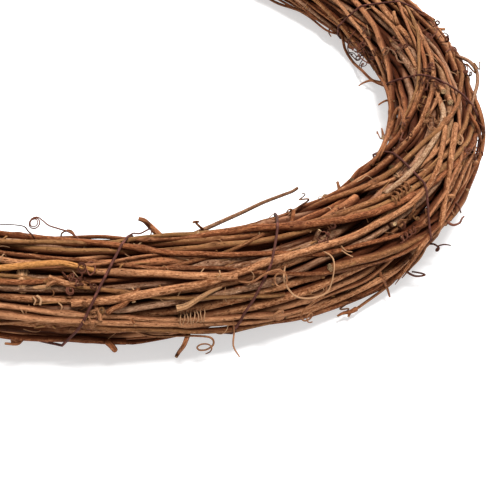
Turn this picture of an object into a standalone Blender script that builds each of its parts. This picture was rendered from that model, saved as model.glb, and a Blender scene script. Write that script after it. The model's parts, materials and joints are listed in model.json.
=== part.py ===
"""A grapevine wreath, 380 mm across: dry canes wound round and round into one ring, bound by a thin wire.

Every cane is its own solid. It is laid out in the bundle's cross-section at equally spaced stations
round the ring, where the canes are pushed apart until they only just lie on each other. Spurs and
tendrils are fused to the cane that they grow from. All of it is worked out round the ring's centre, and
then raised to stand on three cut spurs. Metres, +Z up, origin on the table under the ring's centre.
"""

import math

import bmesh
import bpy
import numpy as np
from mathutils import Matrix, Vector
from mathutils.kdtree import KDTree

# Driving dimensions of the ring and its bundle of canes
OUTER_DIAMETER = 0.380
BUNDLE_WIDTH = 0.044
BUNDLE_HEIGHT = 0.0325
RING_RADIUS = (OUTER_DIAMETER - BUNDLE_WIDTH) / 2
STATIONS = 30
SEED = 20

# How far apart the canes, the wire and the twigs keep
CANE_GAP = 0.0005
WIRE_GAP = 0.0004
TWIG_GAP = 0.0004

# The binding wire: the angle round the ring from each turn to the next
WIRE_RADIUS = 0.00055
WIRE_START_DEG = -89.3
WIRE_STEPS_DEG = (18, 27, 27, 29, 24, 25, 23, 24, 22, 24, 23, 24, 23, 24, 23)
WIRE_POINTS_PER_TURN = 16
PIGTAIL_TURN = 7
PIGTAIL_LENGTH = 0.007
PIGTAIL_RISE = 0.003

# The ring stands on three cut spurs, a little lower than the wire
FOOT_ANGLES_DEG = (-100, 20, 140)
FOOT_SEARCH_DEG = 28
FOOT_DROP = 0.0009
FOOT_RADIUS = 0.0017

# Each layer: name, canes side by side, distance from the middle of a round bundle, thickest and thinnest
# cane radius, places that a cane moves along in one turn, and shortest and longest cane in turns
ROUND_BUNDLE = 0.0205
LAYERS = (
    ("core", 3, 0.0044, 0.0034, 0.0029, 1, 1.2, 1.6),
    ("inner", 10, 0.0106, 0.0026, 0.0020, -4, 1.2, 1.7),
    ("outer", 25, 0.0158, 0.00205, 0.0013, 19, 0.7, 1.3),
    ("over", 9, 0.0190, 0.0017, 0.0011, -10, 0.6, 1.1),
)
WIDEN = BUNDLE_WIDTH / 2 / ROUND_BUNDLE
FLATTEN = BUNDLE_HEIGHT / 2 / ROUND_BUNDLE
END_FLARE = 0.0022

# Spurs and tendrils
SPURS_PER_CANE = 2
TENDRIL_COUNT = 22
TENDRIL_RADIUS = 0.0004
TWIG_REACH = 0.009
LARGEST_HALF_WIDTH = OUTER_DIAMETER / 2 + 0.0035

# Colours from the photograph, as linear red, green and blue
BARKS = {
    "tan_bark": (0.36, 0.17, 0.075),
    "brown_bark": (0.24, 0.10, 0.045),
    "red_bark": (0.20, 0.070, 0.035),
    "grey_bark": (0.26, 0.17, 0.105),
}
WIRE_COLOUR = (0.045, 0.022, 0.020)


class Cane:
    """One cane: its layer, its first station, and its place and radius at each station after that."""

    def __init__(self, layer, start, places, radii):
        self.layer = layer
        self.start = start
        self.places = places
        self.radii = radii

    def angles(self):
        return (self.start + np.arange(len(self.radii))) * 2 * math.pi / STATIONS

    def points(self):
        """The cane's line, measured from the ring's centre."""
        angles = self.angles()
        out = RING_RADIUS + self.places[:, 0]
        return np.stack([out * np.cos(angles), out * np.sin(angles), self.places[:, 1]], axis=1)


def shared_drift(turn_angle, lane_angle):
    """How far the whole bundle's lanes lean sideways together, in radians round the bundle."""
    return (
        0.16 * np.sin(3 * turn_angle + lane_angle + 0.7)
        + 0.10 * np.sin(5 * turn_angle - 2 * lane_angle + 2.1)
        + 0.06 * np.sin(8 * turn_angle + 3 * lane_angle)
    )


def wind_canes(rng):
    """Winds each layer as one long path through all its places, cut into canes that follow each other."""
    canes = []
    for name, lanes, distance, thick, thin, shift, shortest, longest in LAYERS:
        restless = 0.3 if name == "core" else 1.0
        total = lanes * STATIONS
        begin = 0
        while begin < total:
            count = round(STATIONS * rng.uniform(shortest, longest))
            if total - begin - count < 0.5 * STATIONS:
                count = total - begin
            k = np.arange(count)
            turn = (begin + k) / STATIONS
            lane_angle = 2 * math.pi * shift / lanes * turn
            sway_length, rise_length = rng.uniform(9, 16, 2)
            sway_phase, rise_phase = rng.uniform(0, 2 * math.pi, 2)
            sway = 0.07 * np.sin(2 * math.pi * k / sway_length + sway_phase)
            rise = rng.uniform(-0.0005, 0.0005) + 0.0006 * np.sin(2 * math.pi * k / rise_length + rise_phase)
            angle = lane_angle + restless * (shared_drift(2 * math.pi * turn, lane_angle) + sway)
            rho = distance + restless * rise
            places = np.stack([WIDEN * rho * np.cos(angle), FLATTEN * rho * np.sin(angle)], axis=1)
            radii = np.linspace(thick, thin, count) * rng.uniform(0.88, 1.1)
            radii *= rng.uniform(0.94, 1.06, count)
            if rng.random() < 0.5:
                radii = radii[::-1].copy()
            canes.append(Cane(name, begin % STATIONS, places.round(7), radii))
            begin += count
    return canes


def following(canes):
    """The number of the station after each station, along its layer, which closes on itself."""
    after = []
    for layer in dict.fromkeys(cane.layer for cane in canes):
        count = sum(len(cane.radii) for cane in canes if cane.layer == layer)
        first = len(after)
        after.extend(first + (k + 1) % count for k in range(count))
    return np.array(after)


def neighbours(by_station, after, places, radii):
    """Pairs of cane segments between the same two stations that lie close to each other."""
    first, second = [], []
    for segments in by_station:
        i, j = np.triu_indices(len(segments), 1)
        start, end = places[segments], places[after[segments]]
        middle = (start + end) / 2
        reach = radii[segments] + np.linalg.norm(start - end, axis=1) / 2 + 0.0015
        near = np.linalg.norm(middle[i] - middle[j], axis=1) < reach[i] + reach[j]
        first.append(segments[i[near]])
        second.append(segments[j[near]])
    return np.concatenate(first), np.concatenate(second)


def settle(canes, rounds=900):
    """Lets the canes grow to full thickness and push each other apart until they only just touch.

    The short gap between two canes of a layer is kept free too, so that nothing runs into a cut end.
    """
    places = np.concatenate([cane.places for cane in canes])
    full_radii = np.concatenate([cane.radii for cane in canes])
    station = np.concatenate([(cane.start + np.arange(len(cane.radii))) % STATIONS for cane in canes])
    by_station = [np.flatnonzero(station == s) for s in range(STATIONS)]
    after = following(canes)
    before = np.argsort(after)
    half_size = np.array([BUNDLE_WIDTH / 2, BUNDLE_HEIGHT / 2])
    # The tips of the outer canes spring a little out of the bundle, but not under it
    flare = np.zeros(len(full_radii))
    ends = np.cumsum([0] + [len(cane.radii) for cane in canes])
    for cane, start, end in zip(canes, ends[:-1], ends[1:]):
        if cane.layer in ("outer", "over"):
            flare[[start, end - 1]] = END_FLARE
    for step in range(rounds):
        done = step / rounds
        radii = full_radii * min(1, 0.55 + 1.125 * done)
        if step % 15 == 0:
            a, b = neighbours(by_station, after, places, full_radii)
        move = np.zeros_like(places)
        for t in (0.0, 0.25, 0.5, 0.75, 1.0):
            apart = (places[a] - places[b]) * (1 - t) + (places[after[a]] - places[after[b]]) * t
            wanted = (radii[a] + radii[b]) * (1 - t) + (radii[after[a]] + radii[after[b]]) * t + CANE_GAP
            distance = np.linalg.norm(apart, axis=1) + 1e-9
            push = apart * (np.maximum(0, wanted - distance) / distance / 2)[:, None]
            for index, share in ((a, 1 - t), (after[a], t), (b, t - 1), (after[b], -t)):
                for axis in (0, 1):
                    move[:, axis] += np.bincount(index, push[:, axis] * share, len(places))
        places += 0.45 * move
        soften = 0.2 if done < 0.6 else 0.03 if done < 0.9 else 0.0
        places += soften * ((places[before] + places[after]) / 2 - places)
        sprung = np.where(places[:, 1] > -0.3 * BUNDLE_HEIGHT, flare, 0)
        depth = np.linalg.norm(places / (half_size + (sprung - radii)[:, None]), axis=1)
        places *= (1 - 0.5 * np.maximum(0, 1 - 1 / depth))[:, None]
        draw = np.where(flare > 0, -0.00003, 0.00003) if done < 0.6 else np.zeros(len(flare))
        places -= places * (draw / (np.linalg.norm(places, axis=1) + 1e-9))[:, None]
    for cane, start, end in zip(canes, ends[:-1], ends[1:]):
        cane.places = places[start:end].copy()


def section_at(canes, angle):
    """Where the canes cross the half-plane at this angle round the ring: places and radii."""
    step = 2 * math.pi / STATIONS
    along = (angle / step) % STATIONS
    station, part = int(along) % STATIONS, along - int(along)
    places, radii = [], []
    for cane in canes:
        k = np.arange(len(cane.radii) - 1)
        for i in k[(cane.start + k) % STATIONS == station]:
            out = RING_RADIUS + cane.places[i : i + 2, 0]
            ahead, behind = out[0] * math.sin(part * step), out[1] * math.sin((1 - part) * step)
            t = ahead / (ahead + behind)
            across = out[0] * out[1] * math.sin(step) / (ahead + behind)
            places.append((across - RING_RADIUS, (1 - t) * cane.places[i, 1] + t * cane.places[i + 1, 1]))
            radii.append((1 - t) * cane.radii[i] + t * cane.radii[i + 1])
    return np.array(places), np.array(radii)


def wire_points(canes):
    """The closed line of the binding wire, one turn round the bundle for each step round the ring.

    Its straight pieces touch the canes one after the other, and its bends lie where two of them meet.
    """
    turns = len(WIRE_STEPS_DEG)
    marks = np.radians(WIRE_START_DEG + np.cumsum((0,) + WIRE_STEPS_DEG))
    count = turns * WIRE_POINTS_PER_TURN

    def ring_angle(piece):
        return np.interp(piece / WIRE_POINTS_PER_TURN, np.arange(turns + 1), marks)

    bend = 2 * math.pi / WIRE_POINTS_PER_TURN
    supports = []
    for piece in range(count):
        outwards = np.array([math.cos(piece * bend), math.sin(piece * bend)])
        sections = [section_at(canes, ring_angle(piece + part)) for part in (-0.5, -0.25, 0, 0.25, 0.5)]
        reach = max((places @ outwards + radii).max() for places, radii in sections)
        supports.append(reach + WIRE_GAP + WIRE_RADIUS)
    points = []
    for piece in range(count):
        turn, angle = piece * bend, ring_angle(piece + 0.5)
        here, after = supports[piece], supports[(piece + 1) % count]
        sideways = (after - here * math.cos(bend)) / math.sin(bend)
        out = RING_RADIUS + here * math.cos(turn) - sideways * math.sin(turn)
        height = here * math.sin(turn) + sideways * math.cos(turn)
        points.append((out * math.cos(angle), out * math.sin(angle), height))
    return np.array(points)


def pigtail_line(wire):
    """The twisted ends of the wire, bent over along the bundle on its inner side."""
    root = wire[PIGTAIL_TURN * WIRE_POINTS_PER_TURN + WIRE_POINTS_PER_TURN // 2]
    along = np.cross((0.0, 0.0, 1.0), root * (1, 1, 0))
    along /= np.linalg.norm(along)
    return np.array([root, root + along * PIGTAIL_LENGTH + outward(root) * PIGTAIL_RISE])


class Clearance:
    """Finds out whether a twig's line is clear of the canes, the wire and the other twigs."""

    SPACING = 0.0012

    def __init__(self):
        self.points, self.radii, self.owners, self.tree = [], [], [], None

    def add(self, points, radii, owner):
        for start, end, r0, r1 in zip(points[:-1], points[1:], radii[:-1], radii[1:]):
            count = max(1, math.ceil(np.linalg.norm(end - start) / self.SPACING))
            for t in np.arange(count) / count:
                self.points.append(start + (end - start) * t)
                self.radii.append(r0 + (r1 - r0) * t)
                self.owners.append(owner)
        self.points.append(points[-1])
        self.radii.append(radii[-1])
        self.owners.append(owner)
        self.tree = None

    def balance(self):
        self.tree = KDTree(len(self.points))
        for index, point in enumerate(self.points):
            self.tree.insert(point, index)
        self.tree.balance()

    def is_clear(self, points, radius, owner, root):
        """root is the length at the start of the twig that may lie in its own cane."""
        if self.tree is None:
            self.balance()
        gone = 0.0
        for start, end in zip(points[:-1], points[1:]):
            length = np.linalg.norm(end - start)
            count = max(1, math.ceil(length / self.SPACING))
            for t in np.arange(1, count + 1) / count:
                spot = start + (end - start) * t
                for _, index, distance in self.tree.find_range(spot, 0.007):
                    own = self.owners[index] == owner
                    if own and gone + t * length < root:
                        continue
                    if distance < radius + self.radii[index] + TWIG_GAP:
                        return False
            gone += length
        return True


def outward(point):
    """The direction away from the middle line of the bundle."""
    angle = math.atan2(point[1], point[0])
    middle = np.array([RING_RADIUS * math.cos(angle), RING_RADIUS * math.sin(angle), 0.0])
    away = np.array(point) - middle
    return away / np.linalg.norm(away)


def reach_of(points):
    """How far a line stands out of the bundle's oval at most."""
    across = np.hypot(points[:, 0], points[:, 1]) - RING_RADIUS
    oval = np.stack([across / (BUNDLE_WIDTH / 2), points[:, 2] / (BUNDLE_HEIGHT / 2)])
    distance = np.hypot(across, points[:, 2])
    return (distance * (1 - 1 / np.linalg.norm(oval, axis=0))).max()


def spur_line(rng, points, index):
    """A short side shoot, cut off: it leans along the cane and out of the bundle."""
    root = points[index]
    along = points[index + 1] - points[index - 1]
    along *= rng.choice((-1, 1)) / np.linalg.norm(along)
    side = np.cross(along, outward(root))
    lean = rng.uniform(0.3, 0.9) * along + outward(root) + rng.uniform(-0.7, 0.7) * side
    length = rng.uniform(0.0045, 0.0085)
    return np.array([root, root + lean / np.linalg.norm(lean) * length])


def tendril_line(rng, points, index):
    """A thin tendril that leaves the cane, wanders along it and ends in a curl."""
    root = points[index]
    along = points[index + 1] - points[index - 1]
    along *= rng.choice((-1, 1)) / np.linalg.norm(along)
    out = outward(root)
    side = np.cross(along, out) * rng.choice((-1, 1))
    stem = rng.uniform(0.010, 0.030)
    rise = rng.uniform(0.0035, 0.0060)
    lean = rng.uniform(-0.3, 0.5)
    curl = rng.uniform(0.0020, 0.0036)
    turns = rng.uniform(1.2, 1.9)
    line = [root]
    for t in (0.2, 0.4, 0.7, 1.0):
        sway = lean * stem * t + 0.0015 * math.sin(5 * t)
        line.append(root + along * stem * t + out * rise * math.sqrt(t) + side * sway)
    hub = line[-1] + side * curl
    steps = round(turns * 7)
    for step in range(1, steps + 1):
        turned = 2 * math.pi * turns * step / steps
        size = curl * (1 - 0.45 * step / steps)
        spiral = math.sin(turned) * along - math.cos(turned) * side
        line.append(hub + spiral * size + out * 0.0012 * turned / math.pi)
    return np.array(line)


def bare_clearance(canes, wire):
    """The clearance round the canes and the wire before anything grows on them."""
    clearance = Clearance()
    for number, cane in enumerate(canes):
        clearance.add(cane.points(), cane.radii, number)
    closed = np.concatenate([wire, wire[:1]])
    clearance.add(closed, np.full(len(closed), WIRE_RADIUS), "wire")
    return clearance


def place_twigs(rng, canes, wire, feet):
    """Draws spurs and tendrils until enough stand clear. Returns them by the number of their cane."""
    clearance = bare_clearance(canes, wire)
    pigtail = pigtail_line(wire)
    clearance.add(pigtail, np.full(2, WIRE_RADIUS), "wire")
    for number, line in feet:
        clearance.add(line, np.full(2, FOOT_RADIUS), (number, "foot"))
    lowest = wire[:, 2].min() - WIRE_RADIUS
    twigs = {number: [] for number in range(len(canes))}
    bearing = [n for n, cane in enumerate(canes) if cane.layer in ("outer", "over")]

    def attempt(number, make, radius):
        cane = canes[number]
        index = int(rng.integers(1, len(cane.radii) - 1))
        line = make(rng, cane.points(), index)
        root = cane.radii[index] * 2.2
        low = line[:, 2].min() - radius < lowest
        wide = np.abs(line[:, :2]).max() + radius > LARGEST_HALF_WIDTH
        if low or wide or reach_of(line) > TWIG_REACH or not clearance.is_clear(line, radius, number, root):
            return False
        clearance.add(line, np.full(len(line), radius), (number, len(twigs[number])))
        twigs[number].append((line, radius))
        return True

    made = 0
    while made < TENDRIL_COUNT:
        made += attempt(int(rng.choice(bearing)), tendril_line, TENDRIL_RADIUS)
    for number in bearing:
        for _ in range(SPURS_PER_CANE):
            thickness = 0.55 * canes[number].radii.mean()
            for _ in range(12):
                if attempt(number, spur_line, thickness):
                    break
    return twigs


def foot_lines(canes, wire, floor):
    """Three cut spurs that point straight down, at three sides of the ring, each with its cane's number."""
    clearance = bare_clearance(canes, wire)
    feet = []
    for wanted in np.radians(FOOT_ANGLES_DEG):
        found = []
        for number, cane in enumerate(canes):
            for x, y, z in cane.points()[1:-1]:
                off = abs((math.atan2(y, x) - wanted + math.pi) % (2 * math.pi) - math.pi)
                line = np.array([(x, y, z), (x, y, floor)])
                near = off < math.radians(FOOT_SEARCH_DEG) and z < 0.55 * floor
                if near and clearance.is_clear(line, FOOT_RADIUS, number, z - floor):
                    found.append((off, number, line))
        feet.append(min(found, key=lambda item: item[0])[1:])
    return feet


def tube_object(name, points, radii, sides=4, closed=False):
    """A tube with few sides along a line, as a curve with a bevel made into a closed mesh."""
    profile = bpy.data.curves.new(name + "_profile", "CURVE")
    ring = profile.splines.new("POLY")
    ring.points.add(sides - 1)
    ring.use_cyclic_u = True
    for corner, knot in enumerate(ring.points):
        turn = 2 * math.pi * corner / sides
        knot.co = (math.cos(turn), math.sin(turn), 0.0, 1.0)
    profile_guide = bpy.data.objects.new(name + "_profile", profile)
    curve = bpy.data.curves.new(name, "CURVE")
    curve.dimensions = "3D"
    curve.bevel_mode = "OBJECT"
    curve.bevel_object = profile_guide
    curve.use_fill_caps = not closed
    spline = curve.splines.new("POLY")
    spline.points.add(len(points) - 1)
    spline.use_cyclic_u = closed
    for knot, point, radius in zip(spline.points, points, radii):
        knot.co = (*point, 1.0)
        knot.radius = radius
    guide = bpy.data.objects.new(name + "_guide", curve)
    bpy.context.scene.collection.objects.link(profile_guide)
    bpy.context.scene.collection.objects.link(guide)
    mesh = bpy.data.meshes.new_from_object(guide.evaluated_get(bpy.context.evaluated_depsgraph_get()))
    bpy.data.objects.remove(guide)
    bpy.data.objects.remove(profile_guide)
    weld(mesh)
    return bpy.data.objects.new(name, mesh)


def weld(mesh):
    """Joins a tube's caps to its sides."""
    bm = bmesh.new()
    bm.from_mesh(mesh)
    bmesh.ops.remove_doubles(bm, verts=bm.verts, dist=1e-6)
    bmesh.ops.recalc_face_normals(bm, faces=bm.faces)
    bm.to_mesh(mesh)
    bm.free()


def peg_object(name, start, end, thick, thin, sides):
    """A tapered round peg from one point to another."""
    axis = Vector(end) - Vector(start)
    bm = bmesh.new()
    bmesh.ops.create_cone(
        bm, cap_ends=True, segments=sides, radius1=thick, radius2=thin, depth=axis.length
    )
    turn = axis.to_track_quat("Z", "Y").to_matrix().to_4x4()
    middle = Matrix.Translation((Vector(start) + Vector(end)) / 2)
    bmesh.ops.transform(bm, matrix=middle @ turn, verts=bm.verts)
    mesh = bpy.data.meshes.new(name)
    bm.to_mesh(mesh)
    bm.free()
    return bpy.data.objects.new(name, mesh)


def join_twigs(body, twigs):
    """Fuses the twig objects into the body that they grow from, and removes them."""
    if not twigs:
        return
    cluster = bpy.data.collections.new(body.name + "_twigs")
    bpy.context.scene.collection.children.link(cluster)
    for twig in twigs:
        cluster.objects.link(twig)
    union = body.modifiers.new("join", "BOOLEAN")
    union.operation = "UNION"
    union.operand_type = "COLLECTION"
    union.collection = cluster
    union.solver = "EXACT"
    joined = bpy.data.meshes.new_from_object(body.evaluated_get(bpy.context.evaluated_depsgraph_get()))
    body.modifiers.remove(union)
    body.data = joined
    for twig in twigs:
        bpy.data.objects.remove(twig)
    bpy.data.collections.remove(cluster)


def make_material(name, colour, roughness):
    material = bpy.data.materials.new(name)
    material.use_nodes = True
    shader = material.node_tree.nodes["Principled BSDF"]
    shader.inputs["Base Color"].default_value = (*colour, 1.0)
    shader.inputs["Roughness"].default_value = roughness
    shader.inputs["Metallic"].default_value = 0.0
    return material


def build_cane(collection, name, cane, twigs, feet, material):
    """One cane with its spurs, tendrils and feet, fused."""
    body = tube_object(name, cane.points(), cane.radii, sides=3 if cane.layer in ("core", "inner") else 4)
    collection.objects.link(body)
    joined = []
    for line, radius in twigs:
        if len(line) == 2:
            joined.append(peg_object("spur", line[0], line[1], 1.15 * radius, 0.85 * radius, 4))
        else:
            joined.append(tube_object("tendril", line, np.full(len(line), radius), sides=3))
    for line in feet:
        joined.append(peg_object("foot", line[0], line[1], FOOT_RADIUS, FOOT_RADIUS, 6))
    join_twigs(body, joined)
    body.data.materials.clear()
    body.data.materials.append(material)


def build_wire(collection, points, material):
    """The binding wire, closed on itself, with the twisted pair of its ends as one short pigtail."""
    body = tube_object("binding_wire", points, np.full(len(points), WIRE_RADIUS), closed=True)
    collection.objects.link(body)
    start, end = pigtail_line(points)
    join_twigs(body, [peg_object("pigtail", start, end, WIRE_RADIUS, WIRE_RADIUS, 4)])
    body.data.materials.clear()
    body.data.materials.append(material)


def clear_scene():
    for obj in list(bpy.data.objects):
        bpy.data.objects.remove(obj)


def main():
    clear_scene()
    rng = np.random.default_rng(SEED)
    collection = bpy.data.collections.new("grapevine_wreath")
    bpy.context.scene.collection.children.link(collection)
    barks = [make_material(name, colour, 0.75) for name, colour in BARKS.items()]
    wire_finish = make_material("wire_coat", WIRE_COLOUR, 0.45)

    canes = wind_canes(rng)
    settle(canes)
    wire = wire_points(canes)
    floor = wire[:, 2].min() - WIRE_RADIUS - FOOT_DROP
    feet = foot_lines(canes, wire, floor)
    twigs = place_twigs(rng, canes, wire, feet)
    counts = {layer[0]: 0 for layer in LAYERS}
    for number, cane in enumerate(canes):
        counts[cane.layer] += 1
        name = f"{cane.layer}_cane_{counts[cane.layer]:02d}"
        own_feet = [line for owner, line in feet if owner == number]
        build_cane(collection, name, cane, twigs[number], own_feet, barks[number % len(barks)])
    build_wire(collection, wire, wire_finish)
    for body in collection.objects:
        body.data.transform(Matrix.Translation((0.0, 0.0, -floor)))


main()
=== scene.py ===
"""Grapevine wreath: the looks.

Every cane is wound again along the line of its solid, with its knuckles, bark and cut ends, and takes that
solid's place. Thin shoots, tendrils, buds and peeling bark are added on the bundle, and the binding wire
is drawn tight round all of it. Lengths are in metres and angles in degrees unless a name says otherwise.
"""

import functools
import json
import math

import bmesh
import bpy
import numpy as np
from bpy.props import FloatProperty, FloatVectorProperty, IntProperty, PointerProperty
from mathutils import Matrix, Vector
from mathutils.kdtree import KDTree

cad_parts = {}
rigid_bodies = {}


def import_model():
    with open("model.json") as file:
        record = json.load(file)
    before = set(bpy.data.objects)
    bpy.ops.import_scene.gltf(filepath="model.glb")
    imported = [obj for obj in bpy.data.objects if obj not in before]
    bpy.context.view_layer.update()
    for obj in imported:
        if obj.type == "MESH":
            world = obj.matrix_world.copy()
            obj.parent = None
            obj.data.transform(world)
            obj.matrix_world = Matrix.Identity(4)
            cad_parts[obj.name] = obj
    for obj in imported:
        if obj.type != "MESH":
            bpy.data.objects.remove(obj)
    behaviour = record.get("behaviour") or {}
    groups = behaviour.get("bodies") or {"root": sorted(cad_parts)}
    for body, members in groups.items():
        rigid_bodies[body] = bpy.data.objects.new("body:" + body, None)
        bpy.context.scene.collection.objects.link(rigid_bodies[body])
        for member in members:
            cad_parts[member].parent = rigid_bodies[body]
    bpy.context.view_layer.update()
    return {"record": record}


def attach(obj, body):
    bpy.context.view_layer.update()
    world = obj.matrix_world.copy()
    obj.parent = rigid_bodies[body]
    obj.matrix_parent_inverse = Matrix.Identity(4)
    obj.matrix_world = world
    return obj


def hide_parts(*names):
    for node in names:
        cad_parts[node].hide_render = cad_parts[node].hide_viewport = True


bl_info = {
    "name": "Grapevine Wreath",
    "version": (1, 0, 0),
    "blender": (4, 5, 0),
    "location": "3D View > Sidebar > Wreath",
    "description": "Winds a wreath of grapevine canes with tendrils and a binding wire",
    "category": "Add Mesh",
}

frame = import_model()

# Driving dimensions of the ring and its bundle of canes
OUTER_DIAMETER = 0.380
BUNDLE_WIDTH = 0.044
BUNDLE_HEIGHT = 0.0325
RING_RADIUS = (OUTER_DIAMETER - BUNDLE_WIDTH) / 2
STATIONS = 30
SEED = 20

# How far apart the canes, the wire and the twigs keep
CANE_GAP = 0.0005
WIRE_GAP = 0.0004
TWIG_GAP = 0.0004

# The binding wire: the angle round the ring from each turn to the next
WIRE_RADIUS = 0.00055
WIRE_START_DEG = -89.3
WIRE_STEPS_DEG = (18, 27, 27, 29, 24, 25, 23, 24, 22, 24, 23, 24, 23, 24, 23)
WIRE_POINTS_PER_TURN = 16
PIGTAIL_TURN = 7
PIGTAIL_LENGTH = 0.007
PIGTAIL_RISE = 0.003

# The ring stands on three cut spurs, a little lower than the wire
FOOT_ANGLES_DEG = (-100, 20, 140)
FOOT_SEARCH_DEG = 28
FOOT_DROP = 0.0009
FOOT_RADIUS = 0.0017

# Each layer: name, canes side by side, distance from the middle of a round bundle, thickest and thinnest
# cane radius, places that a cane moves along in one turn, and shortest and longest cane in turns
ROUND_BUNDLE = 0.0205
LAYERS = (
    ("core", 3, 0.0044, 0.0034, 0.0029, 1, 1.2, 1.6),
    ("inner", 10, 0.0106, 0.0026, 0.0020, -4, 1.2, 1.7),
    ("outer", 25, 0.0158, 0.00205, 0.0013, 19, 0.7, 1.3),
    ("over", 9, 0.0190, 0.0017, 0.0011, -10, 0.6, 1.1),
)
WIDEN = BUNDLE_WIDTH / 2 / ROUND_BUNDLE
FLATTEN = BUNDLE_HEIGHT / 2 / ROUND_BUNDLE
END_FLARE = 0.0022

# Spurs and tendrils
SPURS_PER_CANE = 2
TENDRIL_COUNT = 22
TENDRIL_RADIUS = 0.0004
TWIG_REACH = 0.009
LARGEST_HALF_WIDTH = OUTER_DIAMETER / 2 + 0.0035

# How the canes look: points from each station to the next, sides, and how far knuckles lie apart
FINE_STEPS = {"core": 7, "inner": 7, "outer": 14, "over": 14}
SIDES = {"core": 8, "inner": 8, "outer": 12, "over": 12}
KNUCKLE_SPACING = (0.042, 0.085)
KNUCKLE_LENGTH = 0.0026
SLIMNESS = 0.95
WIRE_PIECES = 48

# Thin shoots that are tucked in over the canes
SHOOT_SECTIONS = 120
SHOOT_COUNT = 40

# Directions round the bundle in which the reach of its skin is known
SKIN_DIRECTIONS = 180

# One seed for each thing that is drawn at random
SHOOT_SEED = 5
TENDRIL_SEED = 31
TWIG_SEED = 33
BUD_SEED = 41
CANE_LOOK_SEED = 71
SHOOT_LOOK_SEED = 72

# The view of the photograph: the camera looks down at the ring and is then turned a little
FRAME_PIXELS = 488
FOCAL_PIXELS = 1100
LOOK_DOWN_DEG = 28.48
TURN_DEG = 8.89
TILT_DEG = -8.99
ROLL_DEG = -4.04
CAMERA_DISTANCE = 3.146 * RING_RADIUS
NEAREST_SIGHT = 0.25
FARTHEST_SIGHT = 0.75
SIGHT_STEPS = 2000

# Studio
FLOOR_HALF = 20.0
FLOOR_GREY = 0.55
FLOOR_GLOW = 0.55
WORLD_STRENGTH = 0.55

# Colours that lie over every bark's own dark and light fibres, among them painted shade and a painted
# highlight
OLIVE = (0.33, 0.172, 0.066)
ROSE = (0.46, 0.205, 0.100)
WEATHERED = (0.27, 0.150, 0.080)
RUST = (0.22, 0.062, 0.022)
# Pale dust; on the crests of the canes it also paints a highlight
DUST_AND_HIGHLIGHT = (0.13, 0.095, 0.062)
CRACK = (0.048, 0.0115, 0.004)
# Painted shade on the sides of the canes that face into the bundle
GROOVE_SHADE = (0.072, 0.0165, 0.0052)
# Painted shade deep in the bundle, under the outermost canes
DEEP_SHADE = (0.050, 0.0112, 0.0036)
STAIN = (0.20, 0.085, 0.035)


class Cane:
    """One cane: its layer, its first station, and its place and radius at each station after that."""

    def __init__(self, layer, start, places, radii):
        self.layer = layer
        self.start = start
        self.places = places
        self.radii = radii

    def angles(self):
        return (self.start + np.arange(len(self.radii))) * 2 * math.pi / STATIONS

    def points(self):
        """The cane's line, measured from the ring's centre."""
        angles = self.angles()
        out = RING_RADIUS + self.places[:, 0]
        return np.stack([out * np.cos(angles), out * np.sin(angles), self.places[:, 1]], axis=1)


def shared_drift(turn_angle, lane_angle):
    """How far the whole bundle's lanes lean sideways together, in radians round the bundle."""
    return (
        0.16 * np.sin(3 * turn_angle + lane_angle + 0.7)
        + 0.10 * np.sin(5 * turn_angle - 2 * lane_angle + 2.1)
        + 0.06 * np.sin(8 * turn_angle + 3 * lane_angle)
    )


def wind_canes(rng):
    """Winds each layer as one long path through all its places, cut into canes that follow each other."""
    canes = []
    for name, lanes, distance, thick, thin, shift, shortest, longest in LAYERS:
        restless = 0.3 if name == "core" else 1.0
        total = lanes * STATIONS
        begin = 0
        while begin < total:
            count = round(STATIONS * rng.uniform(shortest, longest))
            if total - begin - count < 0.5 * STATIONS:
                count = total - begin
            k = np.arange(count)
            turn = (begin + k) / STATIONS
            lane_angle = 2 * math.pi * shift / lanes * turn
            sway_length, rise_length = rng.uniform(9, 16, 2)
            sway_phase, rise_phase = rng.uniform(0, 2 * math.pi, 2)
            sway = 0.07 * np.sin(2 * math.pi * k / sway_length + sway_phase)
            rise = rng.uniform(-0.0005, 0.0005) + 0.0006 * np.sin(2 * math.pi * k / rise_length + rise_phase)
            angle = lane_angle + restless * (shared_drift(2 * math.pi * turn, lane_angle) + sway)
            rho = distance + restless * rise
            places = np.stack([WIDEN * rho * np.cos(angle), FLATTEN * rho * np.sin(angle)], axis=1)
            radii = np.linspace(thick, thin, count) * rng.uniform(0.88, 1.1)
            radii *= rng.uniform(0.94, 1.06, count)
            if rng.random() < 0.5:
                radii = radii[::-1].copy()
            canes.append(Cane(name, begin % STATIONS, places.round(7), radii))
            begin += count
    return canes


def following(canes):
    """The number of the station after each station, along its layer, which closes on itself."""
    after = []
    for layer in dict.fromkeys(cane.layer for cane in canes):
        count = sum(len(cane.radii) for cane in canes if cane.layer == layer)
        first = len(after)
        after.extend(first + (k + 1) % count for k in range(count))
    return np.array(after)


def neighbours(by_station, after, places, radii):
    """Pairs of cane segments between the same two stations that lie close to each other."""
    first, second = [], []
    for segments in by_station:
        i, j = np.triu_indices(len(segments), 1)
        start, end = places[segments], places[after[segments]]
        middle = (start + end) / 2
        reach = radii[segments] + np.linalg.norm(start - end, axis=1) / 2 + 0.0015
        near = np.linalg.norm(middle[i] - middle[j], axis=1) < reach[i] + reach[j]
        first.append(segments[i[near]])
        second.append(segments[j[near]])
    return np.concatenate(first), np.concatenate(second)


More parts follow.
